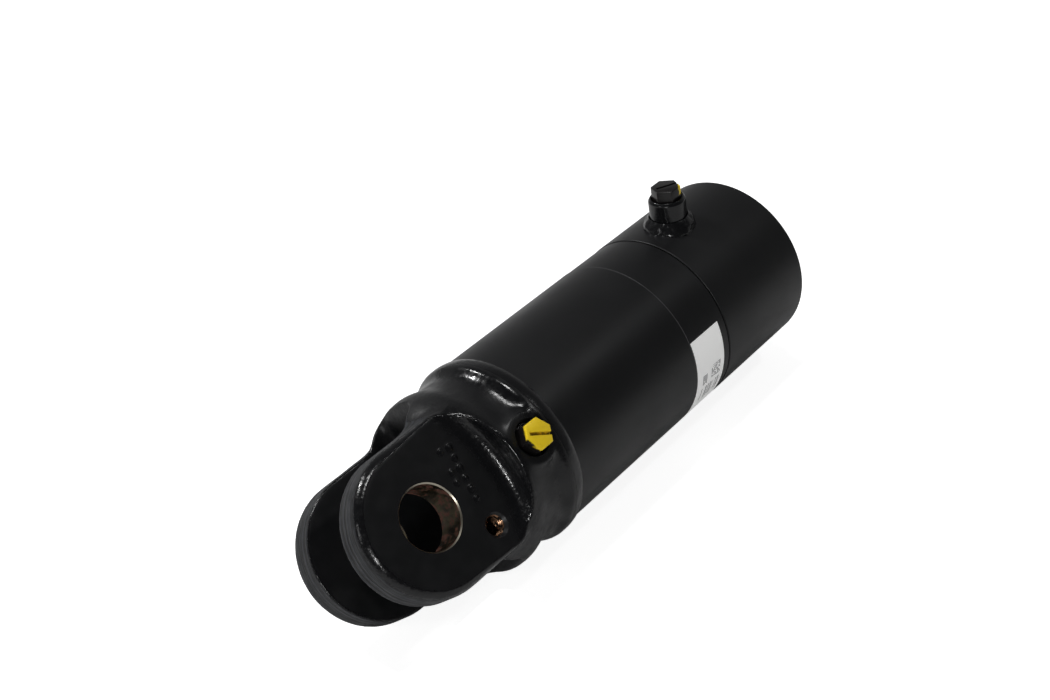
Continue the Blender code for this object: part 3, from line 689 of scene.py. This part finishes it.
def ear_outline(inset):
    """The fork's side view: a round nose, straight edges and a narrowing root."""
    nose = NOSE_R - inset
    root_steps, arc_steps = 10, 72
    root = []
    for i in range(root_steps + 1):
        share = i / root_steps
        z = NOSE_R - (NOSE_R - ROOT_END_Z) * share ** 1.5
        root.append((ROOT_START_X + (ROOT_END_X - ROOT_START_X) * share,
                     z - 0.2 * inset * (1 - share)))
    arc = []
    for i in range(arc_steps + 1):
        turn = math.pi * i / arc_steps
        arc.append((-nose * math.sin(turn), nose * math.cos(turn)))
    return root[::-1] + arc + [(x, -z) for x, z in root]


def fork_block():
    """Both ears in one, with a slightly rounded chamfer round the nose's outer edges."""
    allowance = 0.3
    steps = 6
    side = []
    for i in range(steps + 1):
        t = i / steps
        inset = EAR_CHAMFER * (0.55 * t + 0.45 * (1 - math.sqrt(1 - t * t)))
        side.append((EAR_FACE - EAR_CHAMFER * (1 - t), inset))
    side.append((EAR_FACE + allowance, EAR_CHAMFER + allowance))
    levels = [(-y, inset) for y, inset in side[::-1]] + side
    return loft([[(x, y, z) for x, z in ear_outline(inset)] for y, inset in levels])


def facing_tool(side):
    """A wide milling cut with a filleted rim, which leaves an ear's flat outer face."""
    fillet = [(EAR_FACE + FACING_FILLET * (1 - cosine),
               FACING_R - FACING_FILLET + FACING_FILLET * sine)
              for cosine, sine in quarter_turn(10)]
    solid = lathe([(EAR_FACE, 0)] + fillet + [(FAR_OUT, FACING_R), (FAR_OUT, 0)], closed=False)
    turn = Matrix.Rotation(math.radians(90) * side, 4, "Z")
    return turned_to(solid, Matrix.Translation((FACING_CENTRE_X, 0, 0)) @ turn)


def fork_slot():
    """The gap between the ears, with rounded corners at its closed end."""
    bend = [(THROAT_X - THROAT_CORNER_R * (1 - sine), EAR_GAP - THROAT_CORNER_R * (1 - cosine))
            for cosine, sine in quarter_turn(8)]
    outline = [(-FAR_OUT, EAR_GAP)] + bend
    outline += [(x, -y) for x, y in outline[::-1]]
    return prism(outline, -FAR_OUT, FAR_OUT)


def base_boss():
    """The cast boss under the base port, stopped short of the weld."""
    profile = [(40.0, 0.0), (40.0, 18.6), (48.5, 18.0), (52.5, 16.0), (54.3, 15.3),
               (BASE_BOSS_TOP, 14.6), (BASE_BOSS_TOP, 0.0)]
    boss = turned_to(lathe(soften(profile, False, 1.0), closed=False, segments=96),
                     port_frame(BASE_PORT_X, BASE_PORT_OUT))
    parts = boss.verts[:] + boss.edges[:] + boss.faces[:]
    rim = bmesh.ops.bisect_plane(boss, geom=parts, plane_co=(COLLAR_END_X - 0.2, 0, 0),
                                 plane_no=(1, 0, 0), clear_outer=True)["geom_cut"]
    edges = [item for item in rim if isinstance(item, bmesh.types.BMEdge)]
    bmesh.ops.edgenet_fill(boss, edges=edges)
    bmesh.ops.recalc_face_normals(boss, faces=boss.faces)
    return boss


def read_points(source, field):
    values = np.empty(len(source) * 3, np.float32)
    source.foreach_get(field, values)
    return values.reshape(-1, 3).astype(float)


def relax(item, rounds, only_fill=False):
    """Evens a mesh out. only_fill moves it outward alone, which fillets its creases."""
    pull = 0.8                     # how far a corner goes towards its neighbours' middle
    mesh = item.data
    edges = np.empty(len(mesh.edges) * 2, np.int32)
    mesh.edges.foreach_get("vertices", edges)
    a, b = edges.reshape(-1, 2).T
    count = len(mesh.vertices)
    ways = np.bincount(a, minlength=count) + np.bincount(b, minlength=count)
    points = read_points(mesh.vertices, "co")
    for _ in range(rounds):
        around = np.stack([np.bincount(a, points[b, k], count) +
                           np.bincount(b, points[a, k], count) for k in range(3)], 1)
        step = around / ways[:, None] - points
        if only_fill:
            mesh.vertices.foreach_set("co", points.astype(np.float32).ravel())
            mesh.update()
            normals = read_points(mesh.vertex_normals, "vector")
            height = np.maximum((step * normals).sum(1), 0.0)
            step = normals * height[:, None]
        points = points + pull * step
    mesh.vertices.foreach_set("co", points.astype(np.float32).ravel())
    mesh.update()
    return item


def smoothstep(low, high, value):
    t = np.clip((value - low) / (high - low), 0, 1)
    return t * t * (3 - 2 * t)


def casting_pips():
    """Raised foundry pips on the front ear, in two loose rows: (x, z, radius, height)."""
    count, first_x, first_z, lean, length = 6, 33.2, 21.5, 4.6, 29.0
    row_gap, row_shift = 5.8, 1.0
    pips = []
    for i in range(count):
        share = i / (count - 1)
        x, z = first_x - lean * share, first_z - length * share
        pips.append((x, z, 1.8 - 0.3 * (i % 2), 0.75))
        if i in (0, 2, 3):
            pips.append((x - row_gap, z + row_shift, 1.5, 0.6))
    return pips


def cast_and_mark(item):
    """Pebbled skin in the fillets, cutter lines on the rims, pips on the front face.

    Each share is 1 where the surface is fully of its kind, and fades to 0 round it.
    """
    fillet_start = FACING_R - FACING_FILLET
    pebbles_per_mm, grains_per_mm, waves_per_mm = 0.62, 1.1, 0.13
    pebble_height, wave_height, cut_depth, cut_pitch = 0.11, 0.08, 0.10, 2.6
    mesh = item.data
    points = read_points(mesh.vertices, "co")
    normals = read_points(mesh.vertex_normals, "vector")
    x, y, z = points.T
    from_facing = np.hypot(x - FACING_CENTRE_X, z)
    off_face = np.abs(y) - EAR_FACE
    fillet = (smoothstep(fillet_start - 5, fillet_start + 1, from_facing)
              * (1 - smoothstep(FACING_R - 1.5, FACING_R, from_facing))
              * smoothstep(-0.4, 0.2, off_face))
    root = smoothstep(24, 34, x) * (1 - smoothstep(58, 64, x)) * (np.abs(z) > 26)
    chamfer = (np.hypot(np.minimum(x, 0), z) > NOSE_R - EAR_CHAMFER) * (
        np.abs(normals[:, 1]) > 0.35) * (np.abs(normals[:, 1]) < 0.97) * (x < 34)
    neck = smoothstep(58, 66, x) * (1 - smoothstep(78, 80, x))
    lip = (smoothstep(FACING_R - 5, FACING_R - 1, from_facing) * (off_face > -1)
           * (1 - smoothstep(FACING_R + 1, FACING_R + 5, from_facing)))
    skin = np.clip(0.5 * fillet + 0.45 * root + 0.5 * chamfer + 0.3 * neck, 0, 1)
    flare = smoothstep(68, 74, x) * (1 - smoothstep(79, 81, x))
    gloss = np.clip(fillet + lip + chamfer + flare, 0, 1)
    pebble = np.array([noise.noise(Vector(p) * pebbles_per_mm)
                       + 0.6 * noise.noise(Vector(p) * grains_per_mm) for p in points])
    wave = np.array([noise.noise(Vector(p) * waves_per_mm) for p in points])
    inside = smoothstep(EAR_GAP - 0.3, EAR_GAP + 0.3, np.abs(y))
    turned_part = x > COLLAR_END_X - 3
    lift = (pebble_height * skin * pebble + wave_height * wave * inside) * ~turned_part

    rim = (np.abs(normals[:, 1]) < 0.3) * (np.abs(z) * (x > 0) + np.hypot(x, z) * (x <= 0)
                                           > NOSE_R - 0.6) * (x < 36)
    drift = 0.12 * np.sin(x / 17.0) + 0.12 * wave
    cuts = 0.5 + 0.5 * np.sin(math.tau * (np.abs(y) / cut_pitch + 2.0 * drift))
    lift -= cut_depth * cuts ** 2 * (1 + wave) * rim * inside

    front = (y < 0) * (np.abs(off_face) < 0.5)
    for pip_x, pip_z, radius, height in casting_pips():
        far = np.hypot(x - pip_x, z - pip_z) / radius
        lift += front * height * np.exp(-(far ** 3))
        gloss = np.maximum(gloss, 0.9 * front * (far < 1.4))
    points += normals * lift[:, None]
    mesh.vertices.foreach_set("co", points.astype(np.float32).ravel())
    for name, shares in (("cast_skin", skin), ("gloss", gloss), ("rim", rim * inside)):
        values = mesh.attributes.new(name, "FLOAT", "POINT")
        values.data.foreach_set("value", shares.astype(np.float32))
    mesh.update()
    return item


def pin_bore():
    reach = 10.0
    profile = [(-EAR_FACE - reach, 0), (-EAR_FACE - reach, PIN_R + PIN_CHAMFER + reach),
               (-EAR_FACE + PIN_CHAMFER, PIN_R), (EAR_FACE - PIN_CHAMFER, PIN_R),
               (EAR_FACE + reach, PIN_R + PIN_CHAMFER + reach), (EAR_FACE + reach, 0)]
    return turned_to(lathe(profile, closed=False, segments=MEDIUM),
                     Matrix.Rotation(math.radians(90), 4, "Z"))


def keeper_thread():
    past = 4.0
    thread = screw_thread(KEEPER_MINOR_R, KEEPER_MAJOR_R, KEEPER_PITCH,
                          EAR_GAP - past, EAR_FACE + past)
    place = port_frame(KEEPER_X, BASE_PORT_OUT)
    return turned_to(thread, Matrix.Translation((0, 0, KEEPER_Z)) @ place)


def keeper_mouth():
    """The countersink, a cone that stands a little past the ear's face."""
    depth, past = KEEPER_MAJOR_R + 1.0, 0.5
    cone = lathe([(EAR_FACE - depth, 0), (EAR_FACE + past, depth + past), (EAR_FACE + past, 0)],
                 closed=False, segments=64)
    place = port_frame(KEEPER_X, BASE_PORT_OUT)
    return turned_to(cone, Matrix.Translation((0, 0, KEEPER_Z)) @ place)


def base_drilling():
    drill_tip, tapped_from = 36.0, 38.0
    floor = BASE_BOSS_TOP - PORT_RECESS
    profile = [(drill_tip, 0), (tapped_from, PORT_THREAD_R), (floor, PORT_THREAD_R),
               (floor, BASE_SPOT_R), (FAR_OUT, BASE_SPOT_R), (FAR_OUT, 0)]
    return turned_to(lathe(profile, closed=False, segments=96),
                     port_frame(BASE_PORT_X, BASE_PORT_OUT))


def paint_casting_faces(mesh):
    """Slot 0 paint, 1 bore, 2 the bore's chamfers, 3 the keeper hole's thread."""
    for face in mesh.polygons:
        x, y, z = face.center
        from_pin = math.hypot(x, z)
        from_keeper = math.hypot(x - KEEPER_X, z - KEEPER_Z)
        off_face = EAR_FACE - abs(y)
        if from_pin < PIN_R + 0.05:
            face.material_index = 1
        elif from_pin < PIN_R + PIN_CHAMFER + 0.1 and 0.08 < off_face < PIN_CHAMFER + 0.1:
            face.material_index = 2
        elif y < 0 and from_keeper < KEEPER_MAJOR_R + 0.1 and 1.6 < off_face:
            face.material_index = 3


def make_casting():
    """Cast in one with rounded creases, then faced, slotted, drilled and tapped."""
    whole = casting_body()
    for solid in (fork_block(), base_boss()):
        part = bpy.data.meshes.new("part")
        solid.to_mesh(part)
        solid.free()
        whole.from_mesh(part)
        bpy.data.meshes.remove(part)
    item = to_object("casting", whole)
    cast_grid, milled_grid, fillet_rounds = 0.9, 0.7, 70
    remesh(item, cast_grid)
    relax(item, 3)
    relax(item, fillet_rounds, only_fill=True)
    cut(item, facing_tool(-1), facing_tool(1), fork_slot())
    remesh(item, milled_grid)
    relax(item, 2)
    cast_and_mark(item)
    cut(item, pin_bore(), keeper_thread(), keeper_mouth(), base_drilling())
    for finish in (CASTING_PAINT, bore_steel(), edge_steel(), thread_steel()):
        item.data.materials.append(finish)
    paint_casting_faces(item.data)
    return stand_in("base_clevis", item, [], corner=math.radians(38))


# ---- Barrel, welds, ports and label ----

def bead_ripple(angle, height, count):
    """Overlapping scallops round a weld bead, each a little different."""
    share = angle / math.tau * count
    scallop = abs(math.sin(math.pi * share)) ** 0.6
    uneven = noise.noise(Vector((2.5 * math.cos(angle), 2.5 * math.sin(angle), 3.0)))
    return height * (scallop - 0.6) + 1.4 * height * uneven


def make_base_weld():
    """A flat bead from the collar down to the tube, rippled where it leaves the collar."""
    outline, _ = outline_of("base_weld")
    toe_x = max(x for x, _ in outline)
    toe_r = min(r for x, r in outline if x > toe_x - 0.1) * RIM_FIT
    start, steps, ripple_height, ripples = COLLAR_END_X - WELD_OVERLAP, 10, 0.05, 64
    bead = [(start, toe_r - 3.0)]
    for i in range(steps + 1):
        t = i / steps
        bead.append((start + (toe_x - start) * t,
                     COLLAR_R - ripple_height - (COLLAR_R - toe_r) * t ** 3))
    bead.append((toe_x, toe_r - 0.6))

    def only_outside(x, radius, angle):
        fade = min(1.0, max(0.0, (x - COLLAR_END_X) / 2))
        lift = bead_ripple(angle, ripple_height, ripples) - ripple_height
        return fade * lift if radius > toe_r - 0.3 else 0.0

    solid = lathe(bead, True, FINE * 2, only_outside)
    stand_in("base_weld", to_object("weld", solid), [WELD_PAINT])


def respin(node, segments, corner, fit=1.0):
    outline, closed = outline_of(node)
    points = soften([(x, r * fit) for x, r in outline], closed, corner)
    item = to_object(node, lathe(points, closed, segments))
    return stand_in(node, item, [FINISH_OF_SLOT[SLOT_OF[node]]])


def saddle_tool():
    """Everything inside the head housing's outer surface."""
    radius, start, end = BARREL_R + 0.05, 200.0, FAR_OUT * 4
    return lathe([(start, 0), (start, radius), (end, radius), (end, 0)], closed=False)


def make_head_boss():
    """The welded boss round the head's plug, uneven under its thick paint."""
    foot, top, floor = 51.0, HEAD_BOSS_TOP, HEAD_BOSS_TOP - PORT_RECESS
    profile = [(foot, PORT_THREAD_R), (foot, HEAD_BOSS_R), (top - 1.5, HEAD_BOSS_R),
               (top, HEAD_BOSS_R - 1.1), (top, HEAD_SPOT_R), (floor, HEAD_SPOT_R),
               (floor, PORT_THREAD_R)]

    def sprayed(x, radius, angle):
        around = (1.4 * math.cos(angle), 1.4 * math.sin(angle), x / 6)
        return 0.25 * noise.noise(Vector(around)) - 0.1 if radius > HEAD_SPOT_R + 0.5 else 0.0

    spun = lathe(soften(profile, True, 0.6), True, MEDIUM, sprayed)
    boss = to_object("boss", turned_to(spun, port_frame(HEAD_PORT_X, HEAD_PORT_OUT)))
    cut(boss, saddle_tool())
    stand_in("head_port_boss", boss, [WELD_PAINT])


def make_head_weld():
    """A lumpy fillet bead between the boss and the head housing."""
    inner, toe, foot, start, crown, steps = HEAD_BOSS_R + 0.3, 16.4, 49.0, 51.5, 61.0, 12
    bead = [(foot, inner), (foot, toe)]
    for i in range(steps + 1):
        t = i / steps
        bulge = 1.15 * math.sin(math.pi * t)
        bead.append((start + (crown - start) * t + 0.5 * bulge,
                     toe + (inner + 0.4 - toe) * t + 0.7 * bulge))
    bead.append((crown - 0.2, inner))

    def lumps(x, radius, angle):
        if radius < inner + 0.3:
            return 0.0
        around = Vector((2.6 * math.cos(angle), 2.6 * math.sin(angle), x / 3.5))
        return 0.75 * noise.noise(around) + 0.35 * noise.noise(around * 2.3)

    spun = lathe(bead, True, FINE, lumps)
    weld = to_object("bead", turned_to(spun, port_frame(HEAD_PORT_X, HEAD_PORT_OUT)))
    cut(weld, saddle_tool())
    stand_in("head_port_weld", weld, [WELD_PAINT])


def hexagon_head(low, high):
    """A hexagon with softened edges whose axis is x."""
    corner_r = PLUG_HEX_ACROSS_FLATS / math.sqrt(3)
    outline = [(corner_r * math.cos(math.tau * i / 6),
                corner_r * math.sin(math.tau * i / 6)) for i in range(6)]
    solid = loft([[(level, u, v) for u, v in outline] for level in (low, high)])
    bmesh.ops.bevel(solid, geom=solid.edges[:], offset=0.45, segments=3, profile=0.5,
                    affect="EDGES")
    return solid


def make_plug(node, port_x, outward, port_face, finish):
    seat = port_face + PLUG_SEAT
    under, over = seat - PLUG_SHANK, seat + PLUG_FLANGE
    profile = [(under, 0), (under, PLUG_SHANK_R - 0.6), (under + 0.8, PLUG_SHANK_R),
               (seat, PLUG_SHANK_R), (seat, PLUG_FLANGE_R), (over, PLUG_FLANGE_R), (over, 0)]
    item = to_object(node, lathe(soften(profile, False, 0.4), closed=False, segments=96))
    top = over + PLUG_HEX
    cut(item, hexagon_head(over - 0.8, top), operation="UNION")
    slot = box((top - PLUG_SLOT_DEPTH, PLUG_SLOT_FLOOR, -PLUG_SLOT_HALF_WIDTH),
               (top + 5, FAR_OUT, PLUG_SLOT_HALF_WIDTH))
    cut(item, turned_to(slot, Matrix.Rotation(PLUG_SLOT_TURN, 4, "X")))
    item.data.transform(port_frame(port_x, outward))
    stand_in(node, item, [finish], corner=math.radians(30))


def make_plug_seal(node, port_x, outward, port_face):
    """A ring between the spot face and the flange, with an oval section."""
    middle_x, middle_r, half_height, half_width, steps = port_face + 1.0, 7.35, 0.68, 1.0, 16
    section = []
    for i in range(steps):
        turn = math.tau * i / steps
        section.append((middle_x + half_height * math.cos(turn),
                        middle_r + half_width * math.sin(turn)))
    ring = turned_to(lathe(section, True, 96), port_frame(port_x, outward))
    stand_in(node, to_object(node, ring), [FINISH_OF_SLOT["black_seal_rubber"]])


def make_label():
    """The label, wrapped round the turned band, with UVs for its marks."""
    mesh = frame["nodes"]["rating_label"].data
    corners = [TO_LOCAL @ corner.co for corner in mesh.vertices]
    angles = [math.atan2(c.z, c.y) % math.tau for c in corners]
    low, high = min(angles), max(angles)
    start, end = min(c.x for c in corners), max(c.x for c in corners)
    gap, thick = 0.04, 0.14
    inner_r = (BAND_R + gap) * RIM_FIT
    around, along = 48, 12
    solid = bmesh.new()
    layers = []
    for radius in (inner_r, inner_r + thick):
        grid = []
        for i in range(around + 1):
            angle = low + (high - low) * i / around
            grid.append([solid.verts.new((start + (end - start) * j / along,
                                          radius * math.cos(angle), radius * math.sin(angle)))
                         for j in range(along + 1)])
        layers.append(grid)
    for grid in layers:
        for i in range(around):
            for j in range(along):
                solid.faces.new((grid[i][j], grid[i + 1][j], grid[i + 1][j + 1], grid[i][j + 1]))
    inner, outer = layers
    rim = [(i, j, i + 1, j) for i in range(around) for j in (0, along)]
    rim += [(i, j, i, j + 1) for j in range(along) for i in (0, around)]
    for i, j, on_i, on_j in rim:
        solid.faces.new((inner[i][j], inner[on_i][on_j], outer[on_i][on_j], outer[i][j]))
    bmesh.ops.recalc_face_normals(solid, faces=solid.faces)
    uv = solid.loops.layers.uv.new("label")
    for face in solid.faces:
        for loop in face.loops:
            place = loop.vert.co
            angle = math.atan2(place.z, place.y) % math.tau
            loop[uv].uv = ((angle - low) / (high - low), (place.x - start) / (end - start))
    stand_in("rating_label", to_object("label", solid), [FINISH_OF_SLOT["label_film"]],
             corner=math.radians(30))


# ---- Glands, stages and the far end ----

def make_head_gland():
    """The head gland, with two slots across its end for a pin spanner."""
    half_width, depth, past = 3.0, 2.5, 5.0
    outline, closed = outline_of("head_gland")
    item = to_object("gland", lathe(soften(outline, closed, 0.4), closed, MEDIUM))
    end = max(x for x, _ in outline)
    slots = []
    for half_y, half_z in ((FAR_OUT, half_width), (half_width, FAR_OUT)):
        slots.append(box((end - depth, -half_y, -half_z), (end + past, half_y, half_z)))
    cut(item, *slots)
    stand_in("head_gland", item, [FINISH_OF_SLOT["machined_steel"]])


def make_stage_two_rod():
    """The chromed rod, with a tapped and countersunk end between two milled flats."""
    drill_reach, mouth_depth, mouth_r, past = 20.0, 1.4, 13.2, 5.0
    outline, _ = outline_of("stage_two_rod")
    if outline[0][0] > outline[-1][0]:
        outline.reverse()
    end = max(x for x, _ in outline)
    shaft = [(x, radius) for x, radius in outline
             if radius > ROD_THREAD_MAJOR_R or x < end - ROD_THREAD_DEPTH - drill_reach]
    solid = lathe(soften([(shaft[0][0], 0)] + shaft + [(end, 0)], False, 0.5), closed=False,
                  segments=FINE)
    item = to_object("rod", solid)
    thread = screw_thread(ROD_THREAD_MINOR_R, ROD_THREAD_MAJOR_R, ROD_THREAD_PITCH,
                          end - ROD_THREAD_DEPTH, end + 3, steps_per_turn=12)
    mouth = lathe([(end - mouth_depth, 0), (end - mouth_depth, ROD_THREAD_MINOR_R),
                   (end + 1, mouth_r), (end + 1, 0)], closed=False, segments=64)
    flats = []
    for side in (1, -1):
        near, far = sorted((side * ROD_FLATS / 2, side * FAR_OUT))
        flats.append(box((end - ROD_FLATS_LENGTH, -FAR_OUT, near), (end + past, FAR_OUT, far)))
    cut(item, thread, mouth, *flats)
    for finish in (FINISH_OF_SLOT["chromed_steel"], FINISH_OF_SLOT["machined_steel"]):
        item.data.materials.append(finish)
    chromed_r, end_face = 24.6, 0.6
    for face in item.data.polygons:
        radius = math.hypot(face.center.y, face.center.z)
        at_end = face.center.x > end - ROD_FLATS_LENGTH - 0.1
        if radius < 13 or at_end and (face.center.x > end - end_face or radius < chromed_r):
            face.material_index = 1
    stand_in("stage_two_rod", item, [], corner=math.radians(35))


def make_nut():
    """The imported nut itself, with its edges broken."""
    nut = frame["nodes"]["stage_two_nut"]
    edge = nut.modifiers.new("edge", "BEVEL")
    edge.width, edge.segments, edge.limit_method = 0.0005, 2, "ANGLE"
    nut.data.materials.clear()
    nut.data.materials.append(FINISH_OF_SLOT["machined_steel"])


make_casting()
make_base_weld()
for turned_node, turned_corner in (("barrel_tube", 0.12), ("head_housing", 0.35)):
    respin(turned_node, FINE, turned_corner, RIM_FIT)
make_head_boss()
make_head_weld()
for port, port_x, outward, boss_top, plug_finish in (
        ("base_port", BASE_PORT_X, BASE_PORT_OUT, BASE_BOSS_TOP, YELLOW_PLUG),
        ("head_port", HEAD_PORT_X, HEAD_PORT_OUT, HEAD_BOSS_TOP, SPRAYED_PLUG)):
    make_plug(f"{port}_plug", port_x, outward, boss_top - PORT_RECESS, plug_finish)
    make_plug_seal(f"{port}_plug_seal", port_x, outward, boss_top - PORT_RECESS)
make_label()
make_head_gland()
make_stage_two_rod()
make_nut()
for inner_node, inner_corner in (
        ("head_gland_o_ring", 0.8), ("head_rod_seal", 0.5), ("head_guide_ring", 0.3),
        ("head_wiper", 0.5), ("stage_one_tube", 0.5), ("stage_one_piston", 0.4),
        ("stage_one_gland", 0.4), ("stage_one_piston_guide", 0.3),
        ("stage_one_piston_seal", 0.6), ("stage_one_piston_o_ring", 0.8),
        ("stage_one_gland_o_ring", 0.8), ("stage_one_rod_seal", 0.5),
        ("stage_one_guide_ring", 0.3), ("stage_one_wiper", 0.5), ("stage_two_piston", 0.4),
        ("stage_two_piston_guide", 0.3), ("stage_two_piston_seal", 0.6),
        ("stage_two_piston_o_ring", 0.6)):
    respin(inner_node, MEDIUM, inner_corner)


# ---- Floor, light and camera ----

CAMERA_AZIMUTH, CAMERA_ELEVATION = math.radians(-49.0), math.radians(36.58)
CAMERA_ROLL = math.radians(-3.57)
CAMERA_DISTANCE, CAMERA_LENS = 0.9075, 54.24
CAMERA_AIM = Vector((-0.0017, 0.0267, 0.0785))


def camera_axes():
    azimuth, elevation = CAMERA_AZIMUTH, CAMERA_ELEVATION
    back = Vector((math.sin(azimuth) * math.cos(elevation),
                   -math.cos(azimuth) * math.cos(elevation), math.sin(elevation)))
    level = Vector((math.cos(azimuth), math.sin(azimuth), 0))
    right = (level * math.cos(CAMERA_ROLL)
             + back.cross(level) * math.sin(CAMERA_ROLL))
    return right, back.cross(right), back


def make_camera():
    right, up, back = camera_axes()
    lens = bpy.data.cameras.new("camera")
    lens.lens, lens.sensor_width = CAMERA_LENS, 36.0
    lens.clip_start, lens.clip_end = 0.02, 30.0
    camera = bpy.data.objects.new("camera", lens)
    bpy.context.scene.collection.objects.link(camera)
    camera.matrix_world = (Matrix.Translation(CAMERA_AIM + back * CAMERA_DISTANCE)
                           @ Matrix((right, up, back)).transposed().to_4x4())
    bpy.context.scene.camera = camera


def make_floor():
    half, top = 8.0, -0.0003
    solid = bmesh.new()
    solid.faces.new([solid.verts.new((half * sx, half * sy, top))
                     for sx, sy in ((-1, -1), (1, -1), (1, 1), (-1, 1))])
    floor = to_object("studio_floor", solid)
    pale = Finish("pale_floor", (0.86, 0.86, 0.86), 0.6)
    pale.set("Base Color", pale.mix(pale.spread(pale.noise(300, 3), 0.3, 0.7),
                                    (0.85, 0.85, 0.85), (0.88, 0.88, 0.88)))
    looked_at = pale.node("ShaderNodeLightPath").outputs["Is Camera Ray"]
    pale.set("Emission Color", (1.0, 1.0, 1.0, 1.0))
    pale.set("Emission Strength", pale.times(looked_at, 0.82))
    floor.data.materials.append(pale.material)


def soft_light(name, place, aim, size, watts):
    lamp = bpy.data.lights.new(name, "AREA")
    lamp.shape, lamp.size, lamp.size_y, lamp.energy = "RECTANGLE", *size, watts
    light = bpy.data.objects.new(name, lamp)
    bpy.context.scene.collection.objects.link(light)
    light.location = place
    light.rotation_euler = (Vector(place) - Vector(aim)).to_track_quat("Z", "Y").to_euler()


def make_world():
    """A studio that is white behind the object and dim on the camera's side."""
    world = bpy.data.worlds.new("studio")
    bpy.context.scene.world = world
    studio = Shading(world)
    way = studio.node("ShaderNodeTexCoord").outputs["Generated"]
    back = camera_axes()[2]
    away = Vector((-back.x, -back.y, 0.0)).normalized()
    facing_away = studio.vector("DOT_PRODUCT", way, away, "Value")
    behind = studio.spread(facing_away, -0.25, 0.8, 0.08, 0.30)
    overhead = studio.spread(studio.parts(way)["Z"], 0.1, 0.75, 1.0, 0.35)
    looked_at = studio.node("ShaderNodeLightPath").outputs["Is Camera Ray"]
    glow = studio.maths("MAXIMUM", studio.times(behind, overhead), looked_at)
    backdrop = studio.tree.nodes["Background"]
    studio.feed(backdrop.inputs["Color"], (1, 1, 1, 1))
    studio.feed(backdrop.inputs["Strength"], glow)


make_camera()
make_floor()
soft_light("key", (-0.35, 1.25, 1.35), (0, 0, 0.05), (0.14, 0.10), 13)
soft_light("top", (0.0, 0.15, 1.7), (0, 0, 0), (0.35, 0.22), 8)
soft_light("front", (-1.25, -0.74, 0.68), (-0.14, 0, 0.07), (0.10, 0.10), 5.5)
soft_light("spark", (0.72, -0.56, 1.31), (-0.12, 0, 0.07), (0.07, 0.07), 1.3)
soft_light("side", (-1.5, 0.4, 0.8), (-0.1, 0, 0.05), (0.3, 0.5), 2)
make_world()
bpy.context.scene.view_settings.view_transform = "Standard"
